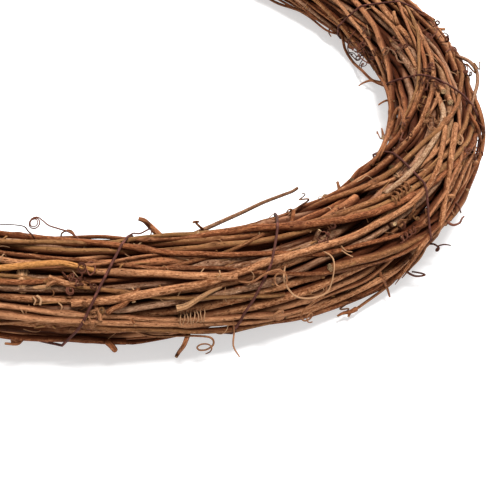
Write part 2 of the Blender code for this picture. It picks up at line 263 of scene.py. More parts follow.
def settle(canes, rounds=900):
    """Lets the canes grow to full thickness and push each other apart until they only just touch.

    The short gap between two canes of a layer is kept free too, so that nothing runs into a cut end.
    """
    places = np.concatenate([cane.places for cane in canes])
    full_radii = np.concatenate([cane.radii for cane in canes])
    station = np.concatenate([(cane.start + np.arange(len(cane.radii))) % STATIONS for cane in canes])
    by_station = [np.flatnonzero(station == s) for s in range(STATIONS)]
    after = following(canes)
    before = np.argsort(after)
    half_size = np.array([BUNDLE_WIDTH / 2, BUNDLE_HEIGHT / 2])
    # The tips of the outer canes spring a little out of the bundle, but not under it
    flare = np.zeros(len(full_radii))
    ends = np.cumsum([0] + [len(cane.radii) for cane in canes])
    for cane, start, end in zip(canes, ends[:-1], ends[1:]):
        if cane.layer in ("outer", "over"):
            flare[[start, end - 1]] = END_FLARE
    for step in range(rounds):
        done = step / rounds
        radii = full_radii * min(1, 0.55 + 1.125 * done)
        if step % 15 == 0:
            a, b = neighbours(by_station, after, places, full_radii)
        move = np.zeros_like(places)
        for t in (0.0, 0.25, 0.5, 0.75, 1.0):
            apart = (places[a] - places[b]) * (1 - t) + (places[after[a]] - places[after[b]]) * t
            wanted = (radii[a] + radii[b]) * (1 - t) + (radii[after[a]] + radii[after[b]]) * t + CANE_GAP
            distance = np.linalg.norm(apart, axis=1) + 1e-9
            push = apart * (np.maximum(0, wanted - distance) / distance / 2)[:, None]
            for index, share in ((a, 1 - t), (after[a], t), (b, t - 1), (after[b], -t)):
                for axis in (0, 1):
                    move[:, axis] += np.bincount(index, push[:, axis] * share, len(places))
        places += 0.45 * move
        soften = 0.2 if done < 0.6 else 0.03 if done < 0.9 else 0.0
        places += soften * ((places[before] + places[after]) / 2 - places)
        sprung = np.where(places[:, 1] > -0.3 * BUNDLE_HEIGHT, flare, 0)
        depth = np.linalg.norm(places / (half_size + (sprung - radii)[:, None]), axis=1)
        places *= (1 - 0.5 * np.maximum(0, 1 - 1 / depth))[:, None]
        draw = np.where(flare > 0, -0.00003, 0.00003) if done < 0.6 else np.zeros(len(flare))
        places -= places * (draw / (np.linalg.norm(places, axis=1) + 1e-9))[:, None]
    for cane, start, end in zip(canes, ends[:-1], ends[1:]):
        cane.places = places[start:end].copy()


def section_at(canes, angle):
    """Where the canes cross the half-plane at this angle round the ring: places and radii."""
    step = 2 * math.pi / STATIONS
    along = (angle / step) % STATIONS
    station, part = int(along) % STATIONS, along - int(along)
    places, radii = [], []
    for cane in canes:
        k = np.arange(len(cane.radii) - 1)
        for i in k[(cane.start + k) % STATIONS == station]:
            out = RING_RADIUS + cane.places[i : i + 2, 0]
            ahead, behind = out[0] * math.sin(part * step), out[1] * math.sin((1 - part) * step)
            t = ahead / (ahead + behind)
            across = out[0] * out[1] * math.sin(step) / (ahead + behind)
            places.append((across - RING_RADIUS, (1 - t) * cane.places[i, 1] + t * cane.places[i + 1, 1]))
            radii.append((1 - t) * cane.radii[i] + t * cane.radii[i + 1])
    return np.array(places), np.array(radii)


def wire_points(canes):
    """The closed line of the binding wire, one turn round the bundle for each step round the ring.

    Its straight pieces touch the canes one after the other, and its bends lie where two of them meet.
    """
    turns = len(WIRE_STEPS_DEG)
    marks = np.radians(WIRE_START_DEG + np.cumsum((0,) + WIRE_STEPS_DEG))
    count = turns * WIRE_POINTS_PER_TURN

    def ring_angle(piece):
        return np.interp(piece / WIRE_POINTS_PER_TURN, np.arange(turns + 1), marks)

    bend = 2 * math.pi / WIRE_POINTS_PER_TURN
    supports = []
    for piece in range(count):
        outwards = np.array([math.cos(piece * bend), math.sin(piece * bend)])
        sections = [section_at(canes, ring_angle(piece + part)) for part in (-0.5, -0.25, 0, 0.25, 0.5)]
        reach = max((places @ outwards + radii).max() for places, radii in sections)
        supports.append(reach + WIRE_GAP + WIRE_RADIUS)
    points = []
    for piece in range(count):
        turn, angle = piece * bend, ring_angle(piece + 0.5)
        here, after = supports[piece], supports[(piece + 1) % count]
        sideways = (after - here * math.cos(bend)) / math.sin(bend)
        out = RING_RADIUS + here * math.cos(turn) - sideways * math.sin(turn)
        height = here * math.sin(turn) + sideways * math.cos(turn)
        points.append((out * math.cos(angle), out * math.sin(angle), height))
    return np.array(points)


def pigtail_line(wire):
    """The twisted ends of the wire, bent over along the bundle on its inner side."""
    root = wire[PIGTAIL_TURN * WIRE_POINTS_PER_TURN + WIRE_POINTS_PER_TURN // 2]
    along = np.cross((0.0, 0.0, 1.0), root * (1, 1, 0))
    along /= np.linalg.norm(along)
    return np.array([root, root + along * PIGTAIL_LENGTH + outward(root) * PIGTAIL_RISE])


class Clearance:
    """Finds out whether a twig's line is clear of the canes, the wire and the other twigs."""

    SPACING = 0.0012

    def __init__(self):
        self.points, self.radii, self.owners, self.tree = [], [], [], None

    def add(self, points, radii, owner):
        for start, end, r0, r1 in zip(points[:-1], points[1:], radii[:-1], radii[1:]):
            count = max(1, math.ceil(np.linalg.norm(end - start) / self.SPACING))
            for t in np.arange(count) / count:
                self.points.append(start + (end - start) * t)
                self.radii.append(r0 + (r1 - r0) * t)
                self.owners.append(owner)
        self.points.append(points[-1])
        self.radii.append(radii[-1])
        self.owners.append(owner)
        self.tree = None

    def balance(self):
        self.tree = KDTree(len(self.points))
        for index, point in enumerate(self.points):
            self.tree.insert(point, index)
        self.tree.balance()

    def is_clear(self, points, radius, owner, root):
        """root is the length at the start of the twig that may lie in its own cane."""
        if self.tree is None:
            self.balance()
        gone = 0.0
        for start, end in zip(points[:-1], points[1:]):
            length = np.linalg.norm(end - start)
            count = max(1, math.ceil(length / self.SPACING))
            for t in np.arange(1, count + 1) / count:
                spot = start + (end - start) * t
                for _, index, distance in self.tree.find_range(spot, 0.007):
                    own = self.owners[index] == owner
                    if own and gone + t * length < root:
                        continue
                    if distance < radius + self.radii[index] + TWIG_GAP:
                        return False
            gone += length
        return True


def outward(point):
    """The direction away from the middle line of the bundle."""
    angle = math.atan2(point[1], point[0])
    middle = np.array([RING_RADIUS * math.cos(angle), RING_RADIUS * math.sin(angle), 0.0])
    away = np.array(point) - middle
    return away / np.linalg.norm(away)


def reach_of(points):
    """How far a line stands out of the bundle's oval at most."""
    across = np.hypot(points[:, 0], points[:, 1]) - RING_RADIUS
    oval = np.stack([across / (BUNDLE_WIDTH / 2), points[:, 2] / (BUNDLE_HEIGHT / 2)])
    distance = np.hypot(across, points[:, 2])
    return (distance * (1 - 1 / np.linalg.norm(oval, axis=0))).max()


def spur_line(rng, points, index):
    """A short side shoot, cut off: it leans along the cane and out of the bundle."""
    root = points[index]
    along = points[index + 1] - points[index - 1]
    along *= rng.choice((-1, 1)) / np.linalg.norm(along)
    side = np.cross(along, outward(root))
    lean = rng.uniform(0.3, 0.9) * along + outward(root) + rng.uniform(-0.7, 0.7) * side
    length = rng.uniform(0.0045, 0.0085)
    return np.array([root, root + lean / np.linalg.norm(lean) * length])


def tendril_line(rng, points, index):
    """A thin tendril that leaves the cane, wanders along it and ends in a curl."""
    root = points[index]
    along = points[index + 1] - points[index - 1]
    along *= rng.choice((-1, 1)) / np.linalg.norm(along)
    out = outward(root)
    side = np.cross(along, out) * rng.choice((-1, 1))
    stem = rng.uniform(0.010, 0.030)
    rise = rng.uniform(0.0035, 0.0060)
    lean = rng.uniform(-0.3, 0.5)
    curl = rng.uniform(0.0020, 0.0036)
    turns = rng.uniform(1.2, 1.9)
    line = [root]
    for t in (0.2, 0.4, 0.7, 1.0):
        sway = lean * stem * t + 0.0015 * math.sin(5 * t)
        line.append(root + along * stem * t + out * rise * math.sqrt(t) + side * sway)
    hub = line[-1] + side * curl
    steps = round(turns * 7)
    for step in range(1, steps + 1):
        turned = 2 * math.pi * turns * step / steps
        size = curl * (1 - 0.45 * step / steps)
        spiral = math.sin(turned) * along - math.cos(turned) * side
        line.append(hub + spiral * size + out * 0.0012 * turned / math.pi)
    return np.array(line)


def bare_clearance(canes, wire):
    """The clearance round the canes and the wire before anything grows on them."""
    clearance = Clearance()
    for number, cane in enumerate(canes):
        clearance.add(cane.points(), cane.radii, number)
    closed = np.concatenate([wire, wire[:1]])
    clearance.add(closed, np.full(len(closed), WIRE_RADIUS), "wire")
    return clearance


def place_twigs(rng, canes, wire, feet):
    """Draws spurs and tendrils until enough stand clear. Returns them by the number of their cane."""
    clearance = bare_clearance(canes, wire)
    pigtail = pigtail_line(wire)
    clearance.add(pigtail, np.full(2, WIRE_RADIUS), "wire")
    for number, line in feet:
        clearance.add(line, np.full(2, FOOT_RADIUS), (number, "foot"))
    lowest = wire[:, 2].min() - WIRE_RADIUS
    twigs = {number: [] for number in range(len(canes))}
    bearing = [n for n, cane in enumerate(canes) if cane.layer in ("outer", "over")]

    def attempt(number, make, radius):
        cane = canes[number]
        index = int(rng.integers(1, len(cane.radii) - 1))
        line = make(rng, cane.points(), index)
        root = cane.radii[index] * 2.2
        low = line[:, 2].min() - radius < lowest
        wide = np.abs(line[:, :2]).max() + radius > LARGEST_HALF_WIDTH
        if low or wide or reach_of(line) > TWIG_REACH or not clearance.is_clear(line, radius, number, root):
            return False
        clearance.add(line, np.full(len(line), radius), (number, len(twigs[number])))
        twigs[number].append((line, radius))
        return True

    made = 0
    while made < TENDRIL_COUNT:
        made += attempt(int(rng.choice(bearing)), tendril_line, TENDRIL_RADIUS)
    for number in bearing:
        for _ in range(SPURS_PER_CANE):
            thickness = 0.55 * canes[number].radii.mean()
            for _ in range(12):
                if attempt(number, spur_line, thickness):
                    break
    return twigs


def foot_lines(canes, wire, floor):
    """Three cut spurs that point straight down, at three sides of the ring, each with its cane's number."""
    clearance = bare_clearance(canes, wire)
    feet = []
    for wanted in np.radians(FOOT_ANGLES_DEG):
        found = []
        for number, cane in enumerate(canes):
            for x, y, z in cane.points()[1:-1]:
                off = abs((math.atan2(y, x) - wanted + math.pi) % (2 * math.pi) - math.pi)
                line = np.array([(x, y, z), (x, y, floor)])
                near = off < math.radians(FOOT_SEARCH_DEG) and z < 0.55 * floor
                if near and clearance.is_clear(line, FOOT_RADIUS, number, z - floor):
                    found.append((off, number, line))
        feet.append(min(found, key=lambda item: item[0])[1:])
    return feet


class Term:
    """A socket of a node tree that can stand in a sum, a product or a power."""

    def __init__(self, nodes, socket):
        self.nodes = nodes
        self.socket = socket

    def with_math(self, operation, first, second):
        return self.nodes.add("ShaderNodeMath", {"operation": operation}, {0: first, 1: second})

    def __add__(self, other):
        return self.with_math("ADD", self, other)

    __radd__ = __add__

    def __sub__(self, other):
        return self.with_math("SUBTRACT", self, other)

    def __rsub__(self, other):
        return self.with_math("SUBTRACT", other, self)

    def __mul__(self, other):
        return self.with_math("MULTIPLY", self, other)

    __rmul__ = __mul__

    def __gt__(self, other):
        return self.with_math("GREATER_THAN", self, other)


class Nodes:
    """Adds nodes to a shader tree or a geometry tree and links them."""

    def __init__(self, tree):
        self.tree = tree
        self.tree.nodes.clear()

    def add(self, kind, settings=None, inputs=None, output=0):
        node = self.tree.nodes.new(kind)
        for name, value in (settings or {}).items():
            setattr(node, name, value)
        for name, value in (inputs or {}).items():
            open_sockets = [socket for socket in node.inputs if socket.enabled]
            socket = open_sockets[name] if isinstance(name, int) else self.named(open_sockets, name)
            if isinstance(value, Term):
                self.tree.links.new(value.socket, socket)
            else:
                socket.default_value = value
        outputs = [socket for socket in node.outputs if socket.enabled]
        if not outputs:
            return None
        return Term(self, outputs[output] if isinstance(output, int) else self.named(outputs, output))

    @staticmethod
    def named(sockets, name):
        return next(socket for socket in sockets if socket.name == name)

    def given(self, name):
        """An input of a geometry tree."""
        return self.add("NodeGroupInput", output=name)

    def stored(self, name, kind="FLOAT"):
        """An attribute of the geometry in a geometry tree."""
        return self.add("GeometryNodeInputNamedAttribute", {"data_type": kind}, {"Name": name})

    def painted(self, name, output="Fac"):
        """An attribute of the mesh in a shader tree."""
        return self.add("ShaderNodeAttribute", {"attribute_name": name}, output=output)

    def scaled(self, vector, scale):
        """A vector times a constant vector."""
        return self.add("ShaderNodeVectorMath", {"operation": "MULTIPLY"}, {0: vector, 1: scale})

    def noise(self, vector, scale, detail=2.0, roughness=0.5):
        """Noise with its own scale along each axis."""
        inputs = {"Vector": self.scaled(vector, scale), "Scale": 1.0}
        inputs |= {"Detail": detail, "Roughness": roughness}
        return self.add("ShaderNodeTexNoise", {}, inputs)

    def between(self, value, low, high):
        """0 where value is under low and 1 where it is over high, with a smooth change."""
        inputs = {"Value": value, "From Min": low, "From Max": high}
        return self.add("ShaderNodeMapRange", {"interpolation_type": "SMOOTHSTEP"}, inputs)

    def mixed(self, factor, first, second):
        """Mixes two colours."""
        return self.add("ShaderNodeMix", {"data_type": "RGBA"}, {"Factor": factor, "A": first, "B": second})


def opaque(colour):
    return (*colour, 1.0)


def new_material(name):
    material = bpy.data.materials.new(name)
    material.use_nodes = True
    return material, Nodes(material.node_tree)


def finish_material(nodes, colour, roughness, bump_height, bump_distance, gloss=0.05):
    """Puts a colour, a roughness and a bump on a Principled BSDF."""
    bump = {"Height": bump_height, "Distance": bump_distance, "Strength": 1.0}
    normal = nodes.add("ShaderNodeBump", {}, bump)
    inputs = {"Base Color": colour, "Roughness": roughness, "Specular IOR Level": gloss, "Normal": normal}
    shader = nodes.add("ShaderNodeBsdfPrincipled", {}, inputs)
    nodes.add("ShaderNodeOutputMaterial", {}, {"Surface": shader})


def bark_material(name, dark, light, grey_share):
    """Dry vine bark: lengthwise fibres and cracks, weathered places, dust and a painted highlight on the
    crests, and painted shade in the grooves and deep in the bundle.
    """
    material, nodes = new_material(name)
    bark = nodes.painted("bark", "Vector")
    knuckle = nodes.painted("knuckle")
    tone = nodes.painted("tone")
    depth = nodes.painted("depth")
    crest = nodes.painted("crest")
    fibres = nodes.noise(bark, (900, 900, 50), 4, 0.65)
    strands = nodes.noise(bark, (2600, 2600, 210), 3, 0.65)
    patches = nodes.noise(bark, (130, 130, 26), 3, 0.55)
    mottle = nodes.noise(bark, (620, 620, 330), 3, 0.6)
    grain = nodes.noise(bark, (1500, 1500, 1000), 2, 0.6)
    weather = nodes.noise(bark, (260, 260, 36), 4, 0.6)
    speck_field = nodes.noise(bark, (1500, 1500, 650), 2, 0.5)
    lightness = fibres * 0.6 + strands * 0.6 + mottle * 0.8 + grain * 0.9 + patches * 0.6 + tone * 0.34
    shade = tone + patches * 0.4
    # Pale dust, which also serves as a painted highlight on the crests
    dust_and_highlight = [0.95 * part + dust for part, dust in zip(light, DUST_AND_HIGHLIGHT)]
    rings = nodes.between(knuckle, 0.25, 0.5) - nodes.between(knuckle, 0.55, 0.85)
    cracks = nodes.between(fibres, 0.385, 0.295)
    specks = nodes.between(speck_field, 0.63, 0.70)
    layers = (
        (nodes.between(shade, 0.52, 0.22) * 0.6, OLIVE),
        (nodes.between(shade, 0.90, 1.20) * 0.4, ROSE),
        (nodes.between(weather, 0.70 - 0.3 * grey_share, 0.86 - 0.3 * grey_share) * 0.5, WEATHERED),
        (nodes.between(patches, 0.54, 0.72) * 0.45, RUST),
        # Dust in speckles, stronger where the bark faces out of the bundle: partly a painted highlight on the
        # crests
        (nodes.between(grain * 0.5 + mottle * 0.5, 0.56, 0.68) * crest, dust_and_highlight),
        (rings * 0.15, dust_and_highlight),
        (cracks * 0.6 + specks * 0.8 + knuckle * 0.5, CRACK),
        # Painted shade on the sides of canes that face into the bundle, except on lines that stand well off
        # it
        (nodes.between(crest, 0.99, 0.15) * nodes.between(depth, -2.2, -0.4) * 0.85, GROOVE_SHADE),
        # Painted shade under the outermost canes, darker the deeper a point lies, broken up by grain and
        # mottle
        (nodes.between(depth + grain * 1.6 + mottle * 1.6 - 1.6, 0.2, 3.1) * 0.95, DEEP_SHADE),
    )
    colour = nodes.mixed(nodes.between(lightness, 1.595, 2.255), opaque(dark), opaque(light))
    for share, tint in layers:
        colour = nodes.mixed(share, colour, opaque(tint))
    height = fibres * 0.7 + strands * 0.7 + mottle * 0.7 + grain * 0.5 - cracks * 0.5 + specks * 0.3
    finish_material(nodes, colour, 0.5 + fibres * 0.35, height, 0.0007)
    return material


def cut_wood_material(name, colour):
    """The pale wood at a cut end or where the bark has come off."""
    material, nodes = new_material(name)
    bark = nodes.painted("bark", "Vector")
    place = nodes.add("ShaderNodeTexCoord", output="Object")
    grain = nodes.noise(bark, (1500, 1500, 120), 3, 0.65)
    pores = nodes.noise(place, (2600, 2600, 2600), 3, 0.6)
    stains = nodes.noise(bark, (420, 420, 130), 3, 0.6)
    dark = opaque([0.2 * part for part in colour])
    lightness = grain * 0.6 + pores * 0.3 + stains * 0.4
    mixed = nodes.mixed(nodes.between(lightness, 0.52, 0.76), dark, opaque(colour))
    mixed = nodes.mixed(nodes.between(stains, 0.50, 0.62) * 0.6, mixed, opaque(STAIN))
    finish_material(nodes, mixed, 0.8, lightness, 0.0005)
    return material


def tendril_material(name, dark, light):
    """Thin dry tendrils: smoother than bark, reddish brown, darker in places."""
    material, nodes = new_material(name)
    bark = nodes.painted("bark", "Vector")
    tone = nodes.painted("tone")
    patches = nodes.noise(bark, (220, 220, 90), 3, 0.6)
    fibres = nodes.noise(bark, (1200, 1200, 160), 2, 0.5)
    factor = nodes.between(patches * 0.7 + fibres * 0.3 + tone * 0.6, 0.5, 1.0)
    colour = nodes.mixed(factor, opaque(dark), opaque(light))
    finish_material(nodes, colour, 0.45 + fibres * 0.35, fibres, 0.00012)
    return material


def wire_material(name, colour):
    """Thin lacquered binding wire with worn places and dust on it."""
    material, nodes = new_material(name)
    place = nodes.add("ShaderNodeTexCoord", output="Object")
    wear = nodes.noise(place, (420, 420, 420), 3, 0.6)
    worn = opaque([2.4 * part + 0.004 for part in colour])
    mixed = nodes.mixed(nodes.between(wear, 0.52, 0.7), opaque(colour), worn)
    finish_material(nodes, mixed, 0.5 + wear * 0.3, wear, 0.0001, 0.08)
    return material


@functools.cache
def materials():
    """All materials of the wreath, by name."""
    looks = bpy.context.scene.wreath_looks
    return {
        "tan_bark": bark_material("tan_bark", (0.125, 0.036, 0.011), looks.tan, 0.3),
        "brown_bark": bark_material("brown_bark", (0.092, 0.024, 0.008), looks.brown, 0.15),
        "red_bark": bark_material("red_bark", (0.085, 0.021, 0.008), looks.red, 0.05),
        "grey_bark": bark_material("grey_bark", (0.110, 0.040, 0.016), looks.grey, 0.6),
        "ochre_bark": bark_material("ochre_bark", (0.30, 0.125, 0.034), looks.ochre, 0.0),
        "pale_bark": bark_material("pale_bark", (0.20, 0.092, 0.042), looks.pale, 0.2),
        "straw_bark": cut_wood_material("straw_bark", looks.straw),
        "cut_wood": cut_wood_material("cut_wood", looks.cut),
        "tendril_skin": tendril_material("tendril_skin", (0.055, 0.018, 0.010), looks.tendril),
        "fibre_skin": tendril_material("fibre_skin", (0.20, 0.085, 0.036), looks.fibre),
        "wire_coat": wire_material("wire_coat", looks.wire),
    }


def new_geometry_tree(name, sockets):
    """A geometry node tree for a modifier, with Geometry in and out and the named inputs."""
    tree = bpy.data.node_groups.new(name, "GeometryNodeTree")
    tree.is_modifier = True
    tree.interface.new_socket("Geometry", in_out="INPUT", socket_type="NodeSocketGeometry")
    tree.interface.new_socket("Geometry", in_out="OUTPUT", socket_type="NodeSocketGeometry")
    for label, kind in sockets:
        tree.interface.new_socket(label, in_out="INPUT", socket_type="NodeSocket" + kind)
    return tree, Nodes(tree)


@functools.cache
def vine_tree():
    """Sweeps every line of a mesh into a tube with lengthwise ridges, lumps and cut ends."""
    sockets = (("Sides", "Int"), ("Ridge Depth", "Float"), ("Lump Depth", "Float"))
    sockets += (("Skin", "Material"), ("Cut Wood", "Material"))
    tree, nodes = new_geometry_tree("vine", sockets)
    ring = {"Resolution": nodes.given("Sides"), "Radius": 1.0}
    circle = nodes.add("GeometryNodeCurvePrimitiveCircle", {}, ring)
    vector = {"data_type": "FLOAT_VECTOR", "domain": "POINT"}
    rounding = {"Geometry": circle, "Name": "round", "Value": nodes.add("GeometryNodeInputPosition")}
    circle = nodes.add("GeometryNodeStoreNamedAttribute", vector, rounding)
    lines = nodes.add("GeometryNodeMeshToCurve", {}, {"Mesh": nodes.given("Geometry")})
    sweep = {"Curve": lines, "Profile Curve": circle, "Scale": nodes.stored("radius"), "Fill Caps": True}
    tube = nodes.add("GeometryNodeCurveToMesh", {}, sweep)
    around = nodes.scaled(nodes.stored("round", "FLOAT_VECTOR"), (0.002, 0.002, 0.0))
    along = nodes.add("ShaderNodeCombineXYZ", {}, {"Z": nodes.stored("along") + nodes.stored("tone") * 9.7})
    bark = nodes.add("ShaderNodeVectorMath", {"operation": "ADD"}, {0: around, 1: along})
    barked = {"Geometry": tube, "Name": "bark", "Value": bark}
    tube = nodes.add("GeometryNodeStoreNamedAttribute", vector, barked)
    bark = nodes.stored("bark", "FLOAT_VECTOR")
    ridges = nodes.noise(bark, (1000, 1000, 55), 2) - 0.5
    lumps = nodes.noise(bark, (240, 240, 120), 2) - 0.5
    depth = (ridges * nodes.given("Ridge Depth") + lumps * nodes.given("Lump Depth")) * nodes.stored("radius")
    outwards = nodes.add("GeometryNodeInputNormal")
    push = nodes.add("ShaderNodeVectorMath", {"operation": "SCALE"}, {0: outwards, "Scale": depth})
    tube = nodes.add("GeometryNodeSetPosition", {}, {"Geometry": tube, "Offset": push})
    is_cut = nodes.add("GeometryNodeInputMeshFaceNeighbors", output="Vertex Count") > 4.5
    tube = nodes.add("GeometryNodeSetShadeSmooth", {}, {"Geometry": tube, "Shade Smooth": True})
    flat = {"Geometry": tube, "Selection": is_cut, "Shade Smooth": False}
    tube = nodes.add("GeometryNodeSetShadeSmooth", {}, flat)
    for extra in ("round", "along", "radius"):
        tube = nodes.add("GeometryNodeRemoveAttribute", {}, {"Geometry": tube, "Name": extra})
    tube = nodes.add("GeometryNodeRealizeInstances", {}, {"Geometry": tube})
    tube = nodes.add("GeometryNodeSetMaterial", {}, {"Geometry": tube, "Material": nodes.given("Skin")})
    ends = {"Geometry": tube, "Selection": is_cut, "Material": nodes.given("Cut Wood")}
    tube = nodes.add("GeometryNodeSetMaterial", {}, ends)
    nodes.add("NodeGroupOutput", {}, {"Geometry": tube})
    return tree


@functools.cache
def scatter_tree():
    """Puts a small shape on each point, turned outwards and along the cane."""
    sockets = (("Shapes", "Collection"), ("Skin", "Material"))
    tree, nodes = new_geometry_tree("scatter", sockets)
    shapes = {"Collection": nodes.given("Shapes"), "Separate Children": True, "Reset Children": True}
    shapes = nodes.add("GeometryNodeCollectionInfo", {}, shapes)
    facing, heading = (nodes.stored(name, "FLOAT_VECTOR") for name in ("facing", "heading"))
    axes = {"Primary Axis": facing, "Secondary Axis": heading}
    turn = nodes.add("FunctionNodeAxesToRotation", {"primary_axis": "Z", "secondary_axis": "X"}, axes)
    points = nodes.add("GeometryNodeMeshToPoints", {}, {"Mesh": nodes.given("Geometry")})
    placing = {"Points": points, "Instance": shapes}
    placing |= {"Pick Instance": True, "Instance Index": nodes.stored("kind", "INT"), "Rotation": turn}
    placing |= {"Scale": nodes.stored("size", "FLOAT")}
    placed = nodes.add("GeometryNodeInstanceOnPoints", {}, placing)
    placed = nodes.add("GeometryNodeRealizeInstances", {}, {"Geometry": placed})
    placed = nodes.add("GeometryNodeSetMaterial", {}, {"Geometry": placed, "Material": nodes.given("Skin")})
    nodes.add("NodeGroupOutput", {}, {"Geometry": placed})
    return tree


def grown(name, mesh, tree, **inputs):
    """A piece made by a geometry node tree from a mesh of lines or points, as a plain mesh at the origin."""
    seedling = bpy.data.objects.new(name + "_lines", mesh)
    bpy.context.scene.collection.objects.link(seedling)
    modifier = seedling.modifiers.new("grow", "NODES")
    modifier.node_group = tree
    sockets = [item for item in tree.interface.items_tree if item.in_out == "INPUT"]
    identifiers = {item.name: item.identifier for item in sockets}
    for label, value in inputs.items():
        modifier[identifiers[label.replace("_", " ")]] = value
    result = seedling.evaluated_get(bpy.context.evaluated_depsgraph_get())
    grown_mesh = bpy.data.meshes.new_from_object(result)
    bpy.data.objects.remove(seedling)
    bpy.data.meshes.remove(mesh)
    grown_mesh.name = name
    keep_over_floor(grown_mesh)
    measure_depth(grown_mesh)
    piece = bpy.data.objects.new(name, grown_mesh)
    bpy.context.scene.collection.objects.link(piece)
    return piece


def keep_over_floor(mesh):
    """Presses flat what would reach under the floor."""
    points = np.empty(3 * len(mesh.vertices), np.float32)
    mesh.vertices.foreach_get("co", points)
    points[2::3] = np.maximum(points[2::3], 0.0)
    mesh.vertices.foreach_set("co", points)


def measure_depth(mesh):
    """Notes how many millimetres each point lies under the outermost canes, and how far it faces outwards.

    The bark paints shade from both, in the grooves and deep in the bundle, and a highlight on the crests.
    """
    points, normals = np.empty((2, 3 * len(mesh.vertices)), np.float32)
    mesh.vertices.foreach_get("co", points)
    mesh.vertices.foreach_get("normal", normals)
    points, normals = (rows.reshape(-1, 3).astype(float) for rows in (points, normals))
    x, y, z = points.T
    ring = np.hypot(x, y)
    across, height = ring - RING_RADIUS, z - wreath().height
    from_middle = np.hypot(across, height) + 1e-9
    reach = wreath().skin_at(np.arctan2(y, x), np.arctan2(height, across))
    fill_attribute(mesh, "depth", "FLOAT", (reach - from_middle) * 1000)
    out = np.stack([x / ring * across, y / ring * across, height], axis=1) / from_middle[:, None]
    fill_attribute(mesh, "crest", "FLOAT", (out * normals).sum(axis=1))


class Line:
    """The middle line of a cane, shoot or tendril, with its radius and share of a knuckle at each point."""

    def __init__(self, points, radii, tone, knuckles=None):
        self.points = np.asarray(points)
        self.radii = np.asarray(radii)
        self.tone = tone
        self.knuckles = np.zeros(len(self.radii)) if knuckles is None else knuckles

    def lengths(self):
        steps = np.linalg.norm(np.diff(self.points, axis=0), axis=1)
        return np.concatenate([[0.0], np.cumsum(steps)])


def fill_attribute(mesh, name, kind, values):
    attribute = mesh.attributes.new(name, kind, "POINT")
    key = "vector" if kind == "FLOAT_VECTOR" else "value"
    attribute.data.foreach_set(key, np.asarray(values).ravel())


def line_mesh(name, lines, closed=False):
    """Edges along the lines, with what the vine tree reads, at the wreath's height over the floor."""
    vertices = np.concatenate([line.points for line in lines]) + (0.0, 0.0, wreath().height)
    vertices[:, 2] = np.maximum(vertices[:, 2], np.concatenate([line.radii for line in lines]))
    edges, first = [], 0
    for line in lines:
        count = len(line.points)
        edges += [(first + k, first + k + 1) for k in range(count - 1)]
        if closed:
            edges.append((first + count - 1, first))
        first += count
    mesh = bpy.data.meshes.new(name)
    mesh.from_pydata(vertices.tolist(), edges, [])
    rows = {"radius": [], "along": [], "knuckle": [], "tone": []}
    for line in lines:
        rows["radius"].append(line.radii)
        rows["along"].append(line.lengths())
        rows["knuckle"].append(line.knuckles)
        rows["tone"].append(np.full(len(line.radii), line.tone))
    for key, parts in rows.items():
        fill_attribute(mesh, key, "FLOAT", np.concatenate(parts))
    return mesh


def vine_piece(name, lines, skin, sides, closed=False, ridges=0.16, lumps=0.10):
    """Lines grown into tubes with bark, as one piece."""
    finishes = {"Skin": materials()[skin], "Cut_Wood": materials()["cut_wood"]}
    mesh = line_mesh(name, lines, closed)
    return grown(name, mesh, vine_tree(), Sides=sides, Ridge_Depth=ridges, Lump_Depth=lumps, **finishes)


def smooth_rows(rows, steps):
    """Rows of numbers with smooth rows between them: steps from each row to the next."""
    ahead = np.vstack([2 * rows[:1] - rows[1:2], rows, 2 * rows[-1:] - rows[-2:-1]])
    t = (np.arange(steps) / steps)[None, :, None]
    a, b, c, d = (ahead[k : len(rows) - 1 + k, None] for k in range(4))
    between = b + 0.5 * t * (c - a + t * (2 * a - 5 * b + 4 * c - d + t * (3 * (b - c) + d - a)))
    return np.vstack([between.reshape(-1, rows.shape[1]), rows[-1:]])


def ring_points(angles, places):
    """Points from angles round the ring and places in the bundle's cross-section."""
    out = RING_RADIUS + places[:, 0]
    return np.stack([out * np.cos(angles), out * np.sin(angles), places[:, 1]], axis=1)


def fine_cane(cane, steps):
    """A cane's angles, places and radii, with smooth steps between its stations."""
    rows = smooth_rows(np.column_stack([cane.places, cane.radii]), steps)
    angles = (cane.start + np.arange(len(rows)) / steps) * 2 * math.pi / STATIONS
    return angles, rows[:, :2], rows[:, 2]


class Bud:
    """A place on a cane: which way is out of the cane and which way is along it."""

    def __init__(self, place, facing, heading, radius):
        self.place = place
        self.facing = facing
        self.heading = heading
        self.radius = radius


